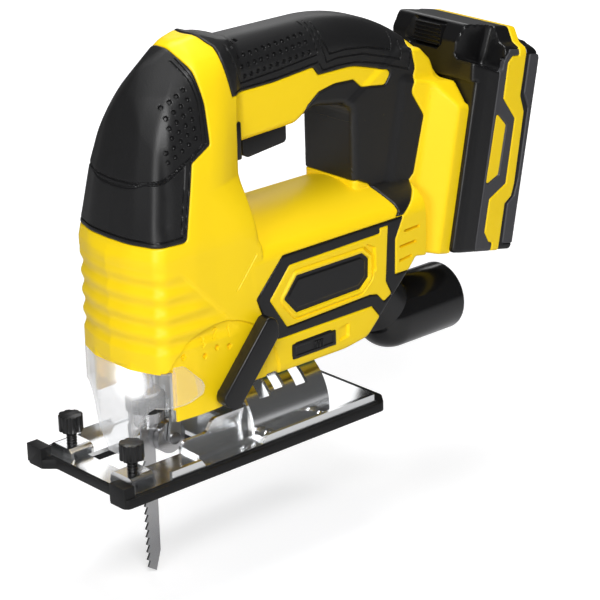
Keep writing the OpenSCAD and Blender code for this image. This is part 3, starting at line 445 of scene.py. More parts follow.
# %% Outlines of the body
HALF_WIDTH = 33.0
BAY_Z = 54.0
LEAN = np.radians(11.5)
RAIL_X, RAIL_Z = 166.7, 67.1
CROWN_R, CROWN_Z = 45.0, 67.0
ARC_R, ARC_X, ARC_Z = 105.0, 100.0, 89.5
GRIP_HALF, GRIP_TOP = 17.0, 194.5
# side views, as x, z and radius
SIDE = outline((-24, 54, 0), (-6, 54, 1), (-6, 28, 1), (20, 28.5, 8), (38, 36, 8), (98, 36, 20),
               (112, 38.5, 8), (140.6, 66, 2), (145.3, 71.5, 2), (172, 66, 0), (210, 66, 0), (210, 215, 0),
               (66, 215, 0), (50, 195.4, 8), (42, 197, 10), (33, 200.5, 6), (22, 198.5, 5), (4, 188, 9),
               (-2.5, 178, 10), (-11.5, 143.5, 60), (-17.2, 111, 12), (-24, 99, 0))
WINDOW = outline((46.5, 105.5, 1), (54.5, 97.2, 1), (118.5, 97.2, 0), (118.5, 151, 6), (95, 155, 12),
                 (84, 149, 8), (46.5, 147.5, 3))
COLUMN_SIDE = outline((102, 90, 0), (176, 90, 0), (176, 150, 4), (171, 163, 6), (164, 170, 4), (150, 172, 0),
                      (112, 150, 0))
# plans, as x, y and radius, and front views, as y, z and radius
NOSE_PLAN = outline((-19, 0, 6), (-17.6, -13, 45), (-12, -30.5, 8), (8, -33, 20), (48, -33, 0), (48, 33, 0),
                    (8, 33, 20), (-12, 30.5, 8), (-17.6, 13, 45), steps=7)
NOSE_FRONT = outline((-35, 18, 0), (35, 18, 0), (33, 112, 20), (26, 158, 30), (18.5, 190, 14), (8, 203, 8),
                     (-8, 203, 8), (-18.5, 190, 14), (-26, 158, 30), (-33, 112, 20), steps=7)
RAIL_PLAN = outline((3.8, -33, 1), (3.8, -31, 0), (0, -31, 0), (0, 31, 0), (3.8, 31, 0), (3.8, 33, 1),
                    (-6, 33, 3), (-17, 22, 5), (-34, 19, 4), (-34, -19, 4), (-17, -22, 5), (-6, -33, 3))
RAIL_FRONT = outline((-34, -12, 0), (34, -12, 0), (34, 73, 3), (22, 85, 4), (-22, 85, 4), (-34, 73, 3))
# height, how far the plan leans back there, and its half width
NOSE_LEAN = np.array([(0, 0, 33), (108, 0, 33), (143, 6.2, 28.5), (178, 15.5, 22), (190, 22, 19),
                      (220, 44, 19)])
print("battery rails lean back by", round(np.degrees(LEAN), 1), "degrees")


# %% The field of the body
def nose_field(x, y, z):
    """Nose: its plan and front view meet, then a shoulder, a slope down to the motor and a leaning brow cut
    it. The plan leans back and narrows with height, so it is read at a place that is shifted and scaled."""
    lean, width = (np.interp(z, NOSE_LEAN[:, 0], NOSE_LEAN[:, k]) for k in (1, 2))
    plan = NOSE_PLAN(np.minimum(x, 20) - lean, y * HALF_WIDTH / width) * width / HALF_WIDTH
    plan = np.maximum(plan - np.clip((x - 20) / 16, 0, 1), x - 48)
    shoulder = ((x - 18) * 18 + (y - 36) * 31) / 35.85
    slope = slant(x, y, z, (49, 36, 104), (0.4486, 0.7725, 0.4486))
    brow = slant(x, y, z, (-2.5, 9.0, 178), (-0.442, 0.62, 0.649))
    return meet(meet(meet(plan, NOSE_FRONT(y, z), 3), np.minimum(shoulder, slope), 6), brow, 7)


def handle_field(x, y, z):
    """Handle: a bar with a rounded top that runs level, then bends down in an arc round ARC_X, ARC_Z."""
    top = np.where(x < ARC_X, z - GRIP_TOP, np.hypot(x - ARC_X, z - ARC_Z) - ARC_R)
    return meet(meet(y - GRIP_HALF, top, 14), np.maximum(24 - x, x - 182), 2)


def column_field(x, y, z):
    """The column behind the hand, a little wider than the grip, inside its own side view."""
    return meet(meet(y - GRIP_HALF - 1, np.maximum(106.5 - x, x - 180), 8), COLUMN_SIDE(x, z), 2)


def rail_field(x, y, z):
    """The battery's rails, in axes that lean back: u away from the handle, v up along the rails."""
    u = (x - RAIL_X) * np.cos(LEAN) - (z - RAIL_Z) * np.sin(LEAN)
    v = (x - RAIL_X) * np.sin(LEAN) + (z - RAIL_Z) * np.cos(LEAN)
    return meet(RAIL_PLAN(u, y), RAIL_FRONT(y, v), 1.5)


def motor_field(x, y, z):
    """The motor's bulge: flat sides under an arch of radius CROWN_R, a little narrower at its front."""
    flat = y - 32.3 - 0.7 * np.clip((x - 30) / 12, 0, 1)
    arch = meet(flat, np.hypot(y, z - CROWN_Z) - CROWN_R, 3)
    return np.maximum(arch, np.maximum(30 - x, x - 152))


def body_field(p):
    """The body at points p: nose, handle, column and rails joined with fillets, kept inside the side outline
    and out of the hand opening, and the motor's bulge."""
    x, y, z = p[..., 0], np.abs(p[..., 1]), p[..., 2]
    side, hand = SIDE(x, z), -WINDOW(x, z)
    front = join(nose_field(x, y, z), handle_field(x, y, z), 6)
    back = join(column_field(x, y, z), rail_field(x, y, z), 3)
    upper = meet(meet(join(front, back, 2), side, 1.6), hand, 3.5)
    return np.minimum(upper, meet(motor_field(x, y, z), side, 1.6))


print("depth in the middle of the motor:", body_field(np.array([[80.0, 0.0, 70.0]])))

# %% [markdown]
# ## Casting the skin
# The field has no mesh yet. Marching cubes would give one, but with uneven triangles that show in a gloss,
# so rays are cast instead. The body is a ring round the hand opening. Lines run from the opening to the
# outside all round that ring, and from the middle of each line rays fan out: first outwards, then over the
# side, then back into the opening. A ray walks by the field's own distance until it stands on the skin.

# %% Section lines and rays
STATIONS = np.array([
    # outside x, z, then the opening's x, z
    (100, 205, 100, 150), (84, 205, 84, 146), (62, 205, 64, 143), (38.8, 206, 49.7, 150),
    (18, 208, 46.5, 142), (-6, 196, 46.5, 137), (-18, 164, 46.5, 130), (-25, 138, 46.5, 123),
    (-26, 114, 46.5, 114),
    (-26, 88, 48, 107), (-26, 66, 51, 103), (-24, 48, 56, 101), (-14, 20, 62, 101), (8, 14, 68, 101),
    (38, 20, 75, 101), (75, 20, 84, 101), (108, 22, 96, 101), (130, 40, 107, 101), (148, 54, 114, 102),
    (168, 56, 117, 106), (186, 70, 118.5, 113), (192, 92, 118.5, 121), (196, 116, 118.5, 129),
    (200, 144, 118.5, 137), (198, 170, 118.5, 144), (180, 196, 117, 149), (152, 210, 112, 150),
    (124, 212, 107, 150)], float)
RING = len(STATIONS)
BODY = (body_field, STATIONS, 0.45)


def section(form, s):
    """Middle and outward direction of section line s, a float that counts round the form's lines."""
    _, lines, share = form
    k = np.floor(s).astype(int)
    f = (s - k)[..., None]
    line = lines[k % len(lines)] * (1 - f) + lines[(k + 1) % len(lines)] * f
    out = line[..., :2] - line[..., 2:]
    return line[..., 2:] + out * share, out / np.linalg.norm(out, axis=-1, keepdims=True)


def cast(form, s, turn, steps=26):
    """Walks each ray until it stands on the skin: a step is 0.92 of the field's depth there, as the field can
    overrate it, at most 30 mm outwards and 3 mm back. turn goes from 0, straight out, over the left side, to
    pi, straight back."""
    middle, out = section(form, s)
    start = np.stack([middle[..., 0], np.zeros_like(s), middle[..., 1]], -1)
    way = np.stack([out[..., 0] * np.cos(turn), -np.sin(turn), out[..., 1] * np.cos(turn)], -1)
    far = np.zeros(s.shape)
    for _ in range(steps):
        far = far - np.clip(form[0](start + way * far[..., None]), -30, 3) * 0.92
    return start + way * far[..., None]


def outward(p, field=body_field, h=0.4):
    """Unit normal: the field's slope along each axis."""
    slope = np.stack([field(p + h * e) - field(p - h * e) for e in np.eye(3)], -1)
    return slope / np.maximum(np.linalg.norm(slope, axis=-1, keepdims=True), 1e-9)


def even_turns(form, s, count, start, end, coarse=48):
    """Turns for each section, spaced so that the points on the skin lie evenly between start and end."""
    guess = np.linspace(0, 1, coarse)[None] * (end - start) + start
    skin = cast(form, np.repeat(s[:, None], coarse, 1), guess + 0 * s[:, None], 16)
    step = np.linalg.norm(np.diff(skin, axis=1), axis=2)
    length = np.concatenate([np.zeros((len(s), 1)), np.cumsum(step, 1)], 1)
    length /= length[:, -1:]
    want = np.linspace(0, 1, count)
    return np.stack([np.interp(want, row, turns) for row, turns in zip(length, guess + 0 * s[:, None])])


print("the ring has", RING, "section lines")


# %% Skin patches
def skin_patch(form, start, end, rows, columns, low=0.0, high=np.pi):
    """Points on the skin between two section lines, even along and across, as rows x columns x 3."""
    guess = np.linspace(start, end, 4 * rows)
    rim = cast(form, guess, 0 * guess + low)
    step = np.linalg.norm(np.diff(rim, axis=0), axis=1)
    length = np.append(0, np.cumsum(step + 0.1 * (end - start) / rows))
    s = np.interp(np.linspace(0, length[-1], rows), length, guess)
    some = s[::4] if rows % 4 == 1 else np.append(s[::4], s[-1])
    turns = even_turns(form, some, columns, low, high)
    turns = np.stack([np.interp(s, some, turns[:, k]) for k in range(columns)], 1)
    return cast(form, np.repeat(s[:, None], columns, 1), turns)


def on_side(x, z, steps=45):
    """The skin's points seen from the left at x, z: a ray walks inwards along y, at most to the middle."""
    p = np.stack([np.asarray(x, float), np.full(np.shape(x), -50.0), np.asarray(z, float)], -1)
    for _ in range(steps):
        p[..., 1] = np.minimum(p[..., 1] + np.clip(body_field(p), -2, 30) * 0.9, 0)
    return p


def triangles(rows, columns):
    """A grid's quads, each cut into two triangles."""
    quads = grid_faces(rows, columns)
    return np.concatenate([quads[:, [0, 1, 2]], quads[:, [0, 2, 3]]])


print("left side of the motor stands at y", on_side(np.array([80.0]), np.array([70.0]))[:, 1])

# %% [markdown]
# ## Lines drawn into the skin
# The covers end at crisp seams, and grooves, slots and rows of dots are moulded into them. Booleans on such
# a fine skin are slow and leave slivers, and bump alone would not be in the mesh. So a measure gives every
# point its distance to a line, the triangles are cut where that distance passes chosen levels, and a
# profile, which is a height for each distance, pushes the points along the skin's normal.

# %% Cutting triangles
ON_THE_LINE = 0.02


def score(points, tris, measure, levels):
    """Cuts triangles where measure(points) passes each level. The new points lie on the triangles' edges, at
    the share of the edge where the measure, taken as a straight line, reaches the level."""
    for level in levels:
        value = measure(points) - level
        value[np.abs(value) < ON_THE_LINE] = 0
        pair = np.sort(np.stack([tris, np.roll(tris, -1, 1)], -1), -1)
        crossed = value[pair[..., 0]] * value[pair[..., 1]] < 0
        edges, which = np.unique(pair[crossed], axis=0, return_inverse=True)
        a, b = edges.T
        t = (value[a] / (value[a] - value[b]))[:, None]
        number = np.full(tris.shape, -1)
        number[crossed] = which.ravel() + len(points)
        points = np.concatenate([points, points[a] * (1 - t) + points[b] * t])
        count = crossed.sum(1)
        parts = [tris[count == 0]]
        for k in range(3):
            p, q, lone = tris[:, k], tris[:, (k + 1) % 3], tris[:, (k + 2) % 3]
            n0, n1, n2 = number[:, k], number[:, (k + 2) % 3], number[:, (k + 1) % 3]
            two, one = (count == 2) & ~crossed[:, k], (count == 1) & crossed[:, k]
            for cut, corners in ((two, (lone, n1, n2)), (two, (n1, p, q)), (two, (n1, q, n2)),
                                 (one, (p, n0, lone)), (one, (n0, q, lone))):
                parts.append(np.stack([c[cut] for c in corners], 1))
        tris = np.concatenate(parts)
    return points, tris


def pick(points, tris, wanted):
    """Only the triangles that are wanted, and the points that they use."""
    used, tris = np.unique(tris[wanted], return_inverse=True)
    return points[used], tris.reshape(-1, 3)


halved = score(np.eye(3), np.array([[0, 1, 2]]), lambda p: p[:, 0], [0.5])
print("one triangle cut across has", len(halved[0]), "points and", len(halved[1]), "triangles")

# %% Measures
def border(distance, shift=None):
    """A measure: signed distance to an outline in x and z. shift moves the outline along x."""
    def measure(p):
        x = p[:, 0] if shift is None else p[:, 0] - shift(p)
        return distance(x, p[:, 2])
    return measure


def strokes(*lines, shift=None):
    """A measure: distance in x and z to the nearest of several open lines."""
    ends = np.concatenate([np.stack([np.array(line[:-1]), np.array(line[1:])], 1) for line in lines])

    def measure(p):
        x, z = p[:, 0] if shift is None else p[:, 0] - shift(p), p[:, 2]
        nearest = np.full(len(p), 1e9)
        for start, end in ends:
            nearest = np.minimum(nearest, edge_distance(x, z, start, end))
        return nearest
    return measure


def spots(x, z):
    """A measure: distance to the nearest of several spots on the left side of the skin."""
    middles = on_side(x, z)

    def measure(p):
        nearest = np.full(len(p), 1e9)
        for middle in middles:
            nearest = np.minimum(nearest, ((p - middle) ** 2).sum(1))
        return np.sqrt(nearest)
    return measure


print("from (0, 3) to a line along x:", strokes([(-5, 0), (5, 0)])(np.array([[0.0, 0.0, 3.0]])))

# %% Features and pieces
EVERYWHERE = 999


def carve(measure, distances, heights):
    """A feature that only shapes the skin: its height at each distance from the line."""
    return measure, distances, heights, -EVERYWHERE, EVERYWHERE


def outside(measure, distances, heights, edge):
    """A feature that also ends the piece: only what lies more than edge outside the outline stays."""
    return measure, distances, heights, edge, EVERYWHERE


def inside(measure, distances, heights, edge):
    """A feature that also ends the piece: only what lies inside the edge stays."""
    return measure, distances, heights, -EVERYWHERE, edge


def cut_skin(grid, features, extra=None, field=body_field):
    """Cuts a patch along its features and pushes each point along its normal by the sum of their heights.
    extra(points) adds its own."""
    points, tris = grid.reshape(-1, 3), triangles(*grid.shape[:2])
    for measure, distances, _, low, high in features:
        points, tris = score(points, tris, measure, distances)
        middle = measure(points[tris].mean(1))
        points, tris = pick(points, tris, (middle > low) & (middle < high))
    height = sum(np.interp(measure(points), distances, heights)
                 for measure, distances, heights, _, _ in features)
    if extra is not None:
        height = height + extra(points)
    on_seam = np.abs(points[:, 1]) < 1e-3
    points = points + outward(points, field) * height[:, None]
    points[on_seam, 1] = 0
    return points, tris


CREASE = 32


def one_side(name, points, tris, slot, material, *replaced):
    """A piece of the left side, on the tool's own body."""
    return dress(mesh_object(name, points, tris, 0, CREASE), "tool", slot, material, *replaced)


def pair(name, points, tris, slot, material, left_node, right_node):
    """The left piece and its mirrored twin on the right."""
    one_side(name + "_left", points, tris, slot, material, left_node)
    one_side(name + "_right", points * [1, -1, 1], tris[:, ::-1], slot, material, right_node)


print("pieces crease above", CREASE, "degrees")

# %% [markdown]
# ## Borders of the soft covers and bands
# On the real saw the black covers are a second shot of softer plastic that lies in the yellow shells.
# Painting two colours on one mesh would lose the seam. So each shell stops just inside a border and dips
# below it, each cover rises to a soft edge a little inside the same border, and what stays between them is
# a fine dark line.

# %% Borders
nose_zone = border(outline(
    (-50, 114, 0), (4.5, 114, 3), (9.8, 135, 0), (13, 148, 2), (24.5, 154, 2), (25.3, 172, 14), (23, 187, 10),
    (17.5, 199, 0), (17.5, 225, 0), (-50, 225, 0)))
HANDLE_BORDER = outline(
    (37.3, 196, 3), (38.3, 188.9, 0), (42.6, 171.2, 1), (70, 171.6, 30), (95, 173.8, 2), (98.2, 169.4, 1),
    (120, 169.4, 30), (144.2, 162.7, 2), (139.6, 156.6, 2), (125.2, 158.8, 1), (120.7, 163, 2),
    (108.3, 163.6, 20), (98.2, 161.6, 2.5), (91.1, 156.5, 1), (86, 148, 0), (112, 145, 0), (112, 112.6, 0),
    (121, 112.6, 0), (128, 109.3, 2), (133, 101, 2), (134, 97.5, 1), (131.5, 94.9, 0), (137.3, 94.9, 0),
    (149.3, 103.3, 3), (155.3, 109.4, 3), (162.4, 137.5, 3), (155.6, 150, 4), (160.3, 161, 5), (158, 171, 3),
    (170, 176, 0), (170, 220, 0), (36, 220, 0))
BAND_OUTER = outline((55, 53.6, 1), (115, 53.6, 1), (121, 46, 0), (132.5, 53, 0), (140, 66.2, 0),
                     (131, 66.2, 0), (131.4, 84, 2), (137, 94.8, 0), (59, 94.5, 1), (42.3, 77, 1),
                     (48.2, 60.4, 1))
BAND_INNER = outline((60.8, 58.5, 1), (114, 60, 1), (119, 59, 1), (123.3, 54.3, 1), (128.2, 57, 1),
                     (124.6, 64, 1), (126, 86, 1), (126.5, 92, 0), (121, 92, 0), (121.5, 89.3, 1),
                     (63, 88.4, 1), (50.6, 74.2, 1))
badge_zone = border(outline((66.8, 63.4, 1), (108, 64.2, 1), (113.6, 69, 1), (114, 78.8, 1), (109.6, 82.8, 1),
                            (67.1, 82.6, 1), (58.8, 72.7, 1)))
# profiles: distances from the border, and heights over the skin there
SEAM = ([-0.5, 0, 0.35, 0.8], [-1.4, -0.35, -0.08, 0.0])
SOFT_EDGE = ([-1.1, -0.6, -0.3, -0.15], [0.3, 0.05, -0.35, -1.0])
GROOVE = ([0.2, 0.5], [-0.75, 0.0])
DOT = ([0.7, 0.95, 1.2], [-1.7, -1.5, 0.0])


def collar_shift(p):
    """The collar of the handle's cover bows 6 mm towards the front over the top of the handle, as a parabola
    across the handle's width."""
    rise = np.clip((p[:, 2] - 186) / 8, 0, 1) * np.clip((75 - p[:, 0]) / 20, 0, 1)
    return -6 * np.clip(1 - (p[:, 1] / 14) ** 2, 0, 1) * rise


def band_zone(p):
    """Distance to the side band: within its outer outline and out of its inner one, on the flat side only."""
    x, z = p[:, 0], p[:, 2]
    zone = np.maximum(BAND_OUTER(x, z), -BAND_INNER(x, z))
    return np.where(np.abs(np.abs(p[:, 1]) - 31) < 5, zone, np.maximum(zone, 5))


handle_zone = border(HANDLE_BORDER, collar_shift)
print("the seam is", SEAM[0][-1] - SEAM[0][0], "mm wide")

# %% [markdown]
# ## The yellow shells
# The two housing halves are the largest mouldings. Each is the skin of the body with everything cut out
# that black covers hide, and with the small forms that catch the light: flutes on the lower nose, a frame
# round the plate, vent slots, and on the left the sweep of the lever with its marks. They are carved, not
# added, because a mould would make them in the same wall.

# %% Recesses and flutes
BAY_HALF = 28.6
LEVER_X, LEVER_Z, LEVER_SWEEP = 20.5, 36.5, 35.3


def bay(p):
    """Distance to the open bay under the nose, negative inside it."""
    return np.maximum(np.abs(p[:, 1]) - BAY_HALF, p[:, 2] - BAY_Z)


def lever_recess(p):
    """Distance to the round recess that the lever sweeps over: a disc, ending 1.5 mm before the band."""
    disc = np.hypot(p[:, 0] - LEVER_X, p[:, 2] - LEVER_Z) - LEVER_SWEEP
    fence = 1.5 - BAND_OUTER(p[:, 0], p[:, 2])
    return np.where(np.abs(np.abs(p[:, 1]) - 32) < 4, np.maximum(disc, fence), 5)


def flutes(p):
    """Four shallow hollows round the lower nose, 9.4 mm apart: a squared sine across each, faded out towards
    a slanted line that ends them like a step."""
    x, z = p[:, 0], p[:, 2]
    line = 2.1 + (98.2 - z) * 0.934
    ahead = np.clip((line - x) / 14, 0, 1)
    wave = (np.sin(np.pi * (z - 62.5) / 9.4) ** 2
            * np.clip((z - 60) / 4, 0, 1) * np.clip((104 - z) / 4, 0, 1))
    step = (np.clip((line - x) / 1.2, 0, 1) * np.exp(-np.clip(line - x, 0, 60) / 9)
            * np.interp(z, [64, 72, 96, 101], [0, 1, 1, 0]))
    return -1.3 * wave * ahead ** 0.8 * (x < line) - 0.8 * step


print("the lever's recess reaches up to z", LEVER_Z + LEVER_SWEEP)

# %% Marks and slots
DIGIT_WIDTH, DIGIT_HEIGHT = 2.4, 4.4
DIGITS = {1: [(0.15, 0.75), (0.55, 1), (0.55, 0)],
          2: [(0, 0.8), (0.25, 1), (0.75, 1), (1, 0.75), (0, 0), (1, 0)],
          3: [(0, 0.9), (0.5, 1), (0.95, 0.75), (0.45, 0.53), (1, 0.27), (0.5, 0), (0, 0.1)]}


def digit(number, x, z):
    """The strokes of a digit whose lower left corner is at x and z."""
    return [(x + DIGIT_WIDTH * across, z + DIGIT_HEIGHT * up) for across, up in DIGITS[number]]


vent_slots = strokes([(137.9, 86.6), (147, 87)], [(134.6, 79.3), (144.3, 79.8)],
                     [(134.2, 72.3), (141.6, 73.1)])
thin_lines = strokes([(43.3, 98.9), (31.1, 84.5)])
lever_marks = spots(np.array([11.6, 18.8, 25.9]), np.array([57.6, 59.6, 58.4]))
lever_digits = strokes(digit(3, 9.6, 62.2), digit(2, 17.4, 64.6), digit(1, 24.9, 63.6),
                       [(-1.6, 60.2), (-0.4, 61.9), (0.8, 60.2), (-0.4, 58.5), (-1.6, 60.2)])
badge_end = border(outline((114.8, 70, 0.5), (118.4, 71.3, 0.5), (118, 83.4, 0.5), (112.4, 86.6, 0.5),
                           (110.4, 84, 0), (114.8, 79.8, 0)))
slide_pocket = border(outline((92.8, 41.6, 0.5), (99.8, 42.4, 0.5), (99.9, 49.7, 0.5), (93, 48.8, 0.5)))
print("digits", list(DIGITS), "are", DIGIT_HEIGHT, "mm tall")

# %% Cast the shells
shell_grid = skin_patch(BODY, 0, RING, 601, 150)
BOTH_SIDES = [outside(nose_zone, *SEAM, -0.5), outside(handle_zone, *SEAM, -0.5),
              outside(band_zone, *SEAM, -0.5),
              outside(badge_zone, [-0.4, 0.0, 1.2, 1.6, 2.6, 3.0], [-1.2, 0.0, 0.3, 0.0, -0.7, 0.0], -0.4),
              carve(vent_slots, [0.5, 0.75], [-2.4, 0.0]), carve(thin_lines, [0.15, 0.45], [-0.35, 0.0]),
              carve(badge_end, [-0.5, 0.0], [-1.3, 0.0])]
LEFT_ONLY = [carve(slide_pocket, [-0.7, 0.0], [-1.4, 0.0]), carve(lever_recess, [-0.8, 0.0], [-1.3, 0.0]),
             carve(lever_marks, [0.9, 1.15, 1.3], [-2.0, -1.8, 0.0]),
             carve(lever_digits, [0.25, 0.4], [-0.6, 0.0])]
OPENING = [outside(bay, [-0.1, 0.1], [0.0, 0.0], 0.0)]
points, tris = cut_skin(shell_grid, BOTH_SIDES + LEFT_ONLY + OPENING, flutes)
one_side("shell_left", points, tris, "shell_yellow", shell_yellow, "left_housing")
points, tris = cut_skin(shell_grid, BOTH_SIDES + OPENING, flutes)
one_side("shell_right", points * [1, -1, 1], tris[:, ::-1], "shell_yellow", shell_yellow, "right_housing")

# %% [markdown]
# ## The soft covers
# The covers are what the hand holds, with a moulded grain, double grooves along their borders and rows of
# dots for grip. They use the same cast skin as the shells, so they fit it everywhere, and only their
# borders and lines are their own. The nose cover also has a valley down each cheek.

# %% Nose cover
nose_grid = skin_patch(BODY, 3.4, 8.4, 201, 110, 0, 2.5)
across, rise = np.meshgrid(np.arange(4), np.arange(6), indexing="ij")
dot_x, dot_z = (16.8 - 4.1 * across).ravel(), (158.8 + 4.2 * rise - 2.0 * across).ravel()
dot_x = dot_x - 0.0115 * np.maximum(0, dot_z - 172) ** 2
nose_dots = spots(np.append(dot_x, [0.4, 0.4]), np.append(dot_z, [151.2, 155.4]))
NOSE_LINES = strokes(
    [(-40, 142), (-12, 141), (-7.4, 142.9), (-2.4, 144.3), (11.6, 150.6), (19.4, 155.2), (20.5, 163.3),
     (21.2, 173.7), (19.9, 183.2), (16.9, 191.1)],
    [(18.9, 191.9), (21.5, 183.5), (23.1, 173.3), (22.5, 164), (21.8, 155.5), (14.9, 151.3), (11.9, 148.8),
     (8.1, 135.7), (3.2, 117.2), (-6.2, 116.6), (-40, 116.4)],
    [(-40, 138), (-12.4, 138.6), (-9.1, 141.6), (-2.7, 142.7), (8.6, 148), (4.3, 130.2), (1.6, 118.9)])
VALLEY = np.array([(-6, -30.4, 123), (-4, -29.3, 135.3), (-3.6, -28, 144.7), (-2.5, -26.1, 157.1),
                   (-0.1, -23.5, 168.8), (1.7, -20.7, 180.7), (1.6, -16.1, 184.3)])


def valley(p):
    """A soft valley down the cheek, between the bulge in front and the dotted panel behind: a bell curve
    1.8 mm deep, across the distance to the valley's line, that fades towards the foot."""
    x, y = (np.interp(p[:, 2], VALLEY[:, 2], VALLEY[:, k]) for k in (0, 1))
    away = np.hypot(p[:, 0] - x, np.abs(p[:, 1]) + y)
    return -1.8 * np.exp(-(away / 3.4) ** 2) * np.interp(p[:, 2], [114, 124, 172, 188], [0.2, 1, 1, 0.2])


points, tris = cut_skin(nose_grid, [inside(nose_zone, *SOFT_EDGE, -0.15), carve(NOSE_LINES, *GROOVE),
                                    carve(nose_dots, *DOT)], valley)
pair("nose_cover", points, tris, "grip_black", grip_black, "nose_grip_left", "nose_grip_right")

# %% Handle cover
COVER_SPLIT = 142


def dot_row(x0, z0, x1, z1, count):
    """Evenly spaced x and z of a row of dots."""
    return np.linspace(x0, x1, count), np.linspace(z0, z1, count)


rows = [dot_row(53, 178.7, 92.5, 181.9, 11), dot_row(51.7, 183.1, 91.7, 186.5, 11),
        dot_row(50.5, 187.6, 91, 190, 11), dot_row(47.2, 193.1, 55, 193.3, 3)]
handle_dots = spots(*np.concatenate(rows, axis=1))
HANDLE_LINES = strokes(
    [(43.4, 194.3), (44.8, 188.8), (47.2, 182), (50, 175.8), (72.4, 177.3), (97.9, 179.8), (96.3, 186.8),
     (95.8, 190.7), (94.6, 193.7)],
    [(44.8, 173.1), (72.2, 173.7), (98, 176.1), (100.7, 171.5), (110.5, 172.1), (122.2, 171.4), (136.1, 168),
     (155.2, 161.3), (156.4, 165.6), (156.9, 170.7)],
    [(100.2, 193), (100.7, 189.9), (101.8, 185.1), (105, 178.6), (115.5, 178.8), (128.4, 177.2),
     (144.7, 172.6), (146.3, 176.1), (146.9, 180)],
    [(97.5, 193.4), (98.2, 189.1), (101, 181), (103.2, 175), (110.6, 175.8), (126.3, 174.5), (149.7, 167.4),
     (150.9, 171.8), (152, 174.8)], shift=collar_shift)
handle_grid = skin_patch(BODY, 22.2, 32.2, 321, 130)
points, tris = cut_skin(handle_grid, [
    inside(handle_zone, *SOFT_EDGE, -0.15), carve(HANDLE_LINES, *GROOVE), carve(handle_dots, *DOT),
    inside(lambda p: COVER_SPLIT - p[:, 2], [0.0, 0.1], [0.0, 0.0], 0)])
pair("handle_cover", points, tris, "grip_black", grip_black, "handle_grip_left", "handle_grip_right")

# %% Wall cover
wall_grid = skin_patch(BODY, 16.6, 25.2, 221, 110, 0, np.pi)
points, tris = cut_skin(wall_grid, [
    inside(handle_zone, *SOFT_EDGE, -0.15),
    inside(lambda p: p[:, 2] - COVER_SPLIT, [-0.1, 0.0], [0.0, 0.0], 0)])
pair("wall_cover", points, tris, "grip_black", grip_black, "handle_grip_left", "handle_grip_right")

# %% [markdown]
# ## Side bands, plates and the blower's bed
# A black band runs round a bare plate on each side, and the blower slides in a dark bed on the left. All
# lie on the flat sides, where the ring's rays are coarse, so plain grids in x and z, dropped onto the skin,
# carry them.

# %% Side band, plate and bed
def side_grid(x0, x1, z0, z1, cell):
    """A grid in x and z dropped onto the left side."""
    x, z = np.meshgrid(np.arange(x0, x1, cell), np.arange(z0, z1, cell), indexing="ij")
    return on_side(x, z)[:, ::-1]


points, tris = cut_skin(side_grid(41, 142, 44, 97, 0.7), [
    inside(band_zone, [-0.9, -0.5, -0.2, -0.1], [0.0, -0.1, -0.5, -1.2], -0.1)])
pair("side_band", points, tris, "plastic_black", plastic_black, "side_bands", "side_bands")
points, tris = cut_skin(side_grid(57, 116, 61, 85, 0.8), [
    inside(badge_zone, [-3.4, -2.9, -2.4, -0.05], [-0.7, -0.7, -1.0, -1.0], -0.05)])
pair("plate", points, tris, "plastic_black", plastic_black, "badge_plates", "badge_plates")
slide_bed = border(outline((62.6, 42, 1), (66, 41, 1), (87.6, 41.1, 1), (90.4, 42, 1), (91, 47.6, 1),
                           (87.4, 49.7, 1), (65.6, 49.5, 1), (62.6, 48.3, 1)))
points, tris = cut_skin(side_grid(61, 93, 39, 52, 0.8), [
    inside(slide_bed, [-0.6, -0.3, -0.05], [0.35, 0.25, -0.6], -0.05)])
one_side("blower_bed", points, tris, "plastic_black", plastic_black)

# %% [markdown]
# ## The battery
# The pack is a hard case that slides on rails, with a crest at its head, a hollow on either side of the
# release button, and a yellow stripe between case and cover. Its faces run into each other like the body's,
# so it is another rounded field, in its own axes: u goes away from the handle, v up along the rails.

# %% The battery's form
BATTERY_SIDE = outline((0.4, 1, 2), (41.3, 1, 2), (43.3, 3, 2), (43.3, 99, 3), (37.5, 106.6, 2),
                       (33.4, 107.4, 1), (32.9, 112.9, 1), (0.5, 113.2, 4), (-4, 104, 2), (-2, 86.3, 1),
                       (0.4, 86.3, 0))
BATTERY_PLAN = outline((-5, -35, 2), (6, -37, 5), (43.6, -37, 3), (43.6, 37, 3), (6, 37, 5), (-5, 35, 2))
BATTERY_FRONT = outline((-37.4, 0, 1), (37.4, 0, 1), (37.4, 101, 2), (35.5, 104, 1.5), (31, 106, 1.5),
                        (26, 113.4, 2), (-26, 113.4, 2), (-31, 106, 1.5), (-35.5, 104, 1.5), (-37.4, 101, 2))
# u and v outside the pack, then u and v in its middle, of each section line
BATTERY_LINES = np.array([(22, 130, 22, 86), (-16, 128, 22, 86), (-30, 86, 22, 86), (-30, 22, 22, 22),
                          (-18, -20, 22, 22), (22, -30, 22, 22), (60, -20, 22, 22), (70, 22, 22, 22),
                          (70, 86, 22, 86), (58, 126, 22, 86)], float)
BUTTON_V = 105


def battery_field(p):
    """The pack at u, y, v: side view, plan and front view meet, less a rounded hollow on either side and the
    button's pocket."""
    u, y, v = p[..., 0], np.abs(p[..., 1]), p[..., 2]
    pack = meet(meet(BATTERY_SIDE(u, v), BATTERY_PLAN(u, y), 2), BATTERY_FRONT(y, v), 1.2)
    hollow = meet(meet(u - 17, 21.5 + 0.12 * (v - 95) - y, 3), 95.5 - 0.25 * u - v, 3)
    pocket = meet(meet(y - 10.4, u - 1.4, 1), np.abs(v - BUTTON_V) - 6.4, 1.5)
    return meet(meet(pack, -hollow, 1.2), -pocket, 0.4)


def battery_place(p):
    """From u, y, v in the pack's axes to x, y, z of the tool."""
    u, y, v = p.T
    return np.stack([RAIL_X + u * np.cos(LEAN) + v * np.sin(LEAN), y,
                     RAIL_Z - u * np.sin(LEAN) + v * np.cos(LEAN)], 1)


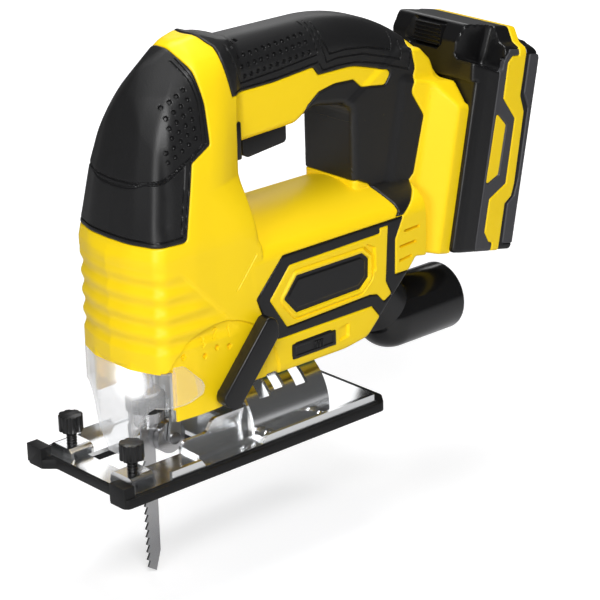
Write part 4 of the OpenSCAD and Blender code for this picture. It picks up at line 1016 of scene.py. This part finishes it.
BATTERY = (battery_field, BATTERY_LINES, 0.0)
battery_grid = skin_patch(BATTERY, 0, len(BATTERY_LINES), 361, 64, 0, np.pi / 2)
print("the pack's foot stands at", battery_place(np.array([[0.0, 0.0, 0.0]])))

# %% The battery's zones
STRIPE_FRONT = [(27, -9), (27, 5.4), (24.7, 5.8), (20.5, 11.1), (20.5, 27.9), (30.8, 35.6), (30.6, 68.7),
                (20.3, 78.6), (20, 96.4), (22.6, 99.6), (27.3, 100), (27.3, 125)]
STRIPE_REAR = [(32.4, -9), (32.4, 25.3), (36.2, 29), (37.3, 35.4), (36.6, 72), (32.4, 80), (32.4, 125)]
front = border(lookup(np.array([(-40, -9)] + STRIPE_FRONT + [(-40, 125)], float)))
rear = border(lookup(np.array(STRIPE_REAR + [(70, 125), (70, -9)], float)))
CASE_EDGE = ([-0.9, -0.5, -0.2, 0.0, 0.3], [0.0, -0.05, -0.3, -0.7, -1.6])


def flank(zone, half_width):
    """A measure of a zone in u and v that only counts on the pack's flanks, beyond half_width."""
    def measure(p):
        value = zone(p[:, 0], p[:, 2])
        return np.where(np.abs(p[:, 1]) > half_width, value, np.maximum(value, 4))
    return measure


def both(a, b):
    """The measure of where two zones overlap."""
    return lambda p: np.maximum(a(p), b(p))


front_panel = flank(outline((15, 5, 1), (15, 95, 1), (20.6, 103.4, 1), (34, 103.4, 0), (34, -9, 0),
                            (16, -9, 0)), 34)
rear_panel = flank(outline((34.8, 4.5, 1), (34.4, 25, 1), (38.4, 29.2, 1), (39.6, 38, 1), (39.2, 74, 1),
                           (34.9, 81, 1), (34.9, 101, 1), (60, 101, 0), (60, 4.5, 0)), 31)
label = flank(outline((16.6, 35.1, 1), (24.6, 40.2, 1), (25, 65.5, 1), (17.1, 71.6, 1)), 30)
print("the stripe is", STRIPE_REAR[0][0] - STRIPE_FRONT[0][0], "mm wide at its foot")


# %% The battery's pieces
def battery_piece(name, slot, material, node, *features):
    """Cuts one piece from the left half of the pack, mirrors it, and puts both halves on the rails."""
    points, tris = cut_skin(battery_grid, features, field=battery_field)
    tris = np.concatenate([tris, tris[:, ::-1] + len(points)])
    points = np.concatenate([points, points * [1, -1, 1]])
    piece = mesh_object(name, battery_place(points), tris, 0.01, CREASE)
    return dress(piece, "battery", slot, material, node)


battery_piece("battery_shell", "plastic_black", plastic_black, "battery_case",
              inside(front, *CASE_EDGE, 0.3), outside(front_panel, [0.0, 0.5], [-1.0, 0.0], -0.01))
battery_piece("battery_panels", "plastic_grey", plastic_grey, "battery_case",
              inside(both(front, front_panel), *CASE_EDGE, 0.3),
              outside(label, [-0.1, 0.6], [-0.8, 0.0], -0.12))
battery_piece("rating_label", "shell_yellow", shell_yellow, "battery_case",
              inside(both(front, label), [-0.4, -0.1], [-0.3, -0.6], -0.1))
battery_piece("battery_stripe", "shell_yellow", shell_yellow, "battery_band",
              inside(lambda p: np.maximum(-front(p), -rear(p)), *CASE_EDGE, 0.3))
battery_piece("battery_back", "plastic_black", plastic_black, "battery_cover",
              inside(rear, *CASE_EDGE, 0.3), outside(rear_panel, [0.0, 0.5], [-1.0, -0.4], -0.01))
battery_piece("battery_back_panel", "plastic_grey", plastic_grey, "battery_cover",
              inside(both(rear, rear_panel), *CASE_EDGE, 0.3))

# %% Release button
BUTTON_HALF, RIDGE_PITCH = 9.6, 1.9


def button_face(y, v):
    """Height of the button's face over its foot: a flat pad with six ridges, each a raised cosine."""
    up = v - BUTTON_V
    pad = np.clip((BUTTON_HALF - np.abs(y)) / 0.8, 0, 1) * np.clip((5.8 - np.abs(up)) / 0.8, 0, 1)
    ridge = np.clip(np.cos(2 * np.pi * (up - RIDGE_PITCH / 2) / RIDGE_PITCH), 0, 1) ** 0.6
    return pad * 2.2 + ridge * (np.abs(up) < 5.6) * (np.abs(y) < 8.4) * 1.1


y, v = np.meshgrid(np.linspace(-BUTTON_HALF, BUTTON_HALF, 70), np.linspace(99.2, 110.8, 120), indexing="ij")
button_grid = np.stack([1.2 - button_face(y, v), y, v], -1)
button_grid = battery_place(button_grid.reshape(-1, 3)).reshape(button_grid.shape)
dress(grids_object("button", [button_grid], sharp=40), "battery_release", "plastic_black", plastic_black,
      "release_button")

# %% [markdown]
# ## Turned and softened pieces
# The dust port is a tube that ends in a ball below the belly, with a neck up into it. Cylinders with bevels
# could do it, but a profile turned about its axis gives lip, tube and ball in one surface. The lever, the
# trigger, the shoe and the knobs keep their own shape. A mould never leaves a bare edge, so each is copied
# and its edges get a fine radius, which catches a thin line of light.

# %% Dust port
def turned(profile, start, way, count=72):
    """A surface of revolution: each profile point is (along, radius). At angle a it lies at start + along *
    way + radius * (cos a * side + sin a * across)."""
    way = np.array(way, float) / np.linalg.norm(way)
    side = np.array([0.0, 1.0, 0.0])
    across = np.cross(way, side)
    angle = np.linspace(0, 2 * np.pi, count + 1)[None]
    along, radius = np.array(profile, float).T[..., None]
    return (np.array(start) + along[..., None] * way
            + radius[..., None] * (np.cos(angle)[..., None] * side + np.sin(angle)[..., None] * across))


low, high = corner_of("dust_port")
port_r, ball_x = (high[1] - low[1]) / 2, 157.0
tube = high[0] - ball_x
# the ball's quarter, then the rounded lip, and back down the bore
profile = [(port_r * np.cos(a), port_r * np.sin(a)) for a in np.linspace(np.pi, np.pi / 2, 24)]
profile += [(tube - 1.4, port_r), (tube - 0.5, port_r - 0.2), (tube, port_r - 0.7), (tube, port_r - 1.2),
            (tube - 0.5, port_r - 1.5), (-6, port_r - 1.5), (-6, 0)]
port_axis = (ball_x, 0, low[2] + port_r)
neck = turned([(0, 15.5), (37, 15.5), (38, 0)], port_axis, (-0.69, 0, 0.72))
dress(grids_object("port_shell", [turned(profile, port_axis, (1, 0, 0)), neck], sharp=40),
      "tool", "plastic_black", port_black, "dust_port")


# %% Softened mouldings
FLAT, CORNER = np.radians(1.5), np.radians(30)


def softened(name, node, width, steps=2, material=plastic_black):
    """A copy of a node's mesh on the same body. Faces that lie FLAT together become one, and each edge that
    turns more than a CORNER is rounded over width millimetres."""
    source = nodes[node]
    bm = bmesh.new()
    bm.from_mesh(source.data)
    bm.transform(source.matrix_world)
    bmesh.ops.remove_doubles(bm, verts=bm.verts, dist=0.00002)
    bmesh.ops.dissolve_limit(bm, angle_limit=FLAT, verts=bm.verts, edges=bm.edges)
    hard = [e for e in bm.edges if len(e.link_faces) == 2 and e.calc_face_angle(0) > CORNER]
    bmesh.ops.bevel(bm, geom=hard, offset=width * MM, segments=steps, profile=0.5, affect="EDGES",
                    clamp_overlap=True)
    mesh = bpy.data.meshes.new(name)
    bm.to_mesh(mesh)
    bm.free()
    mesh.shade_smooth()
    mesh.set_sharp_from_angle(angle=np.radians(40))
    return dress(new_object(name, mesh), source["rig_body"], "plastic_black", material, node)


softened("lever_handle", "orbital_lever", 0.9, 3)
softened("trigger_key", "trigger", 1.2, 3)
softened("lock_off", "lock_off_button", 1.0)
softened("blower_frame", "blower_bezel", 0.35)
softened("blower_key", "blower_slider", 0.25)
softened("shoe", "sole_shoe", 0.6, material=shoe_black)
softened("knob_left", "thumb_screw_left", 0.35)
softened("knob_right", "thumb_screw_right", 0.35)

# %% [markdown]
# ## Inside the shells
# The bay under the nose is open, so the walls behind it have to be there. A new surface would have to
# follow every rib, so they are the housing's own walls, with all that lies near the skin pushed deeper, so
# that they never show outside.

# %% Inner walls
WALL_DEPTH = 6.0


def inner_walls(name, node):
    """A copy of a housing's mesh in which every point less deep than WALL_DEPTH is pushed down to it, except
    round the open bay."""
    source = nodes[node]
    mesh = source.data.copy()
    mesh.transform(source.matrix_world)
    points = np.empty(len(mesh.vertices) * 3, np.float32)
    mesh.vertices.foreach_get("co", points)
    points = points.reshape(-1, 3).astype(float) / MM
    open_bay = (np.abs(points[:, 1]) < BAY_HALF + 0.05) & (points[:, 2] < BAY_Z + 0.05) & (points[:, 0] < 33)
    push = np.maximum(body_field(points) + WALL_DEPTH, 0) * ~open_bay
    points -= outward(points) * push[:, None]
    mesh.vertices.foreach_set("co", (points * MM).astype(np.float32).ravel())
    mesh.update()
    return dress(new_object(name, mesh), "tool", "shell_yellow", shell_yellow, node)


inner_walls("walls_left", "left_housing")
inner_walls("walls_right", "right_housing")

# %% [markdown]
# ## Floor and lamps
# A pale floor catches the shadow. A bright sky would light the saw from everywhere and flatten it, so the
# sky is only bright to the camera, and large soft lamps give the plain light of a studio: one from the
# front, one from the left, one from above, and a weak one that draws the rear edges. A tiny lamp glows
# under the nose.

# %% Floor and world
def studio():
    """A white world: bright to the camera, also through the guard, and dim as a light, so that lamps shape
    the saw."""
    scene = bpy.context.scene
    scene.view_settings.view_transform = "Standard"
    scene.world = bpy.data.worlds.new("studio")
    scene.world.use_nodes = True
    tree = scene.world.node_tree
    sky, path = tree.nodes["Background"], tree.nodes.new("ShaderNodeLightPath")
    give(sky, {"Color": (1, 1, 1, 1)})
    seen = maths(tree, "MAXIMUM", path.outputs["Is Camera Ray"], path.outputs["Is Transmission Ray"])
    tree.links.new(remap(tree, seen, 0.08, 1.0), sky.inputs["Strength"])


def floor_material():
    """White floor. To the camera it also glows, more so far away, so that it reads as paper and only the
    shadow is grey."""
    material, tree, shader = new_material("floor_white")
    give(shader, {"Base Color": (0.62, 0.62, 0.63, 1), "Roughness": 1.0, "Specular IOR Level": 0.0,
                  "Emission Color": (1, 1, 1, 1)})
    path = tree.nodes.new("ShaderNodeLightPath")
    far = remap(tree, distance_from(tree, (0, 0, 0)), 0.6, 1.0, 0.25, 1.1, "SMOOTHSTEP")
    glow = maths(tree, "MULTIPLY", path.outputs["Is Camera Ray"], far)
    tree.links.new(glow, shader.inputs["Emission Strength"])
    return material


FLOOR_HALF, FLOOR_Z = 3000.0, -60.0
studio()
x, y = np.meshgrid([-FLOOR_HALF, FLOOR_HALF], [-FLOOR_HALF, FLOOR_HALF], indexing="ij")
floor = grids_object("floor", [np.stack([x, y, 0 * x + FLOOR_Z], -1)])
floor.data.materials.append(floor_material())
print("the floor lies at z", FLOOR_Z, "mm")

# %% Lamps
AIM = (0.07, 0.0, 0.1)


def area_lamp(name, place, size, watts):
    """A square area lamp that looks at the middle of the saw."""
    data = bpy.data.lights.new(name, "AREA")
    data.energy, data.size = watts, size
    lamp = new_object(name, data)
    lamp.location = place
    lamp.rotation_euler = (Vector(AIM) - Vector(place)).to_track_quat("-Z", "Y").to_euler()


area_lamp("key", (-0.55, -0.9, 0.9), 0.5, 13)
area_lamp("left_fill", (-1.2, -0.6, 0.35), 0.5, 6)
area_lamp("top", (0.15, 0.1, 1.3), 0.6, 9)
area_lamp("rear_rim", (0.9, 0.9, 0.7), 0.6, 1.6)
work_lamp = bpy.data.lights.new("work_lamp", "POINT")
work_lamp.energy, work_lamp.shadow_soft_size = 0.008, 0.004
new_object("work_lamp", work_lamp).location = (-0.0138, 0, 0.046)
print(len(bpy.data.lights), "lamps")

# %% [markdown]
# ## The camera
# The saw is seen from its front left, a little from above, with a long lens from over a metre away, so that
# its lines stay nearly parallel. The three directions are the camera's own right, up and back.

# %% Camera
view = bpy.data.cameras.new("camera")
view.lens, view.sensor_width = 147.78, 36.0
camera = new_object("camera", view)
RIGHT, UP, BACK = (0.7443, -0.6673, -0.0261), (0.2555, 0.2485, 0.9344), (-0.6170, -0.7021, 0.3554)
CAMERA_PLACE = (-0.6438, -0.8438, 0.4802)
camera.matrix_world = Matrix([*zip(RIGHT, UP, BACK, CAMERA_PLACE), (0, 0, 0, 1)])
view.clip_start, view.clip_end = 0.05, 20
bpy.context.scene.camera = camera
print("the camera stands", round((Vector(CAMERA_PLACE) - Vector(AIM)).length, 2), "m from the saw")
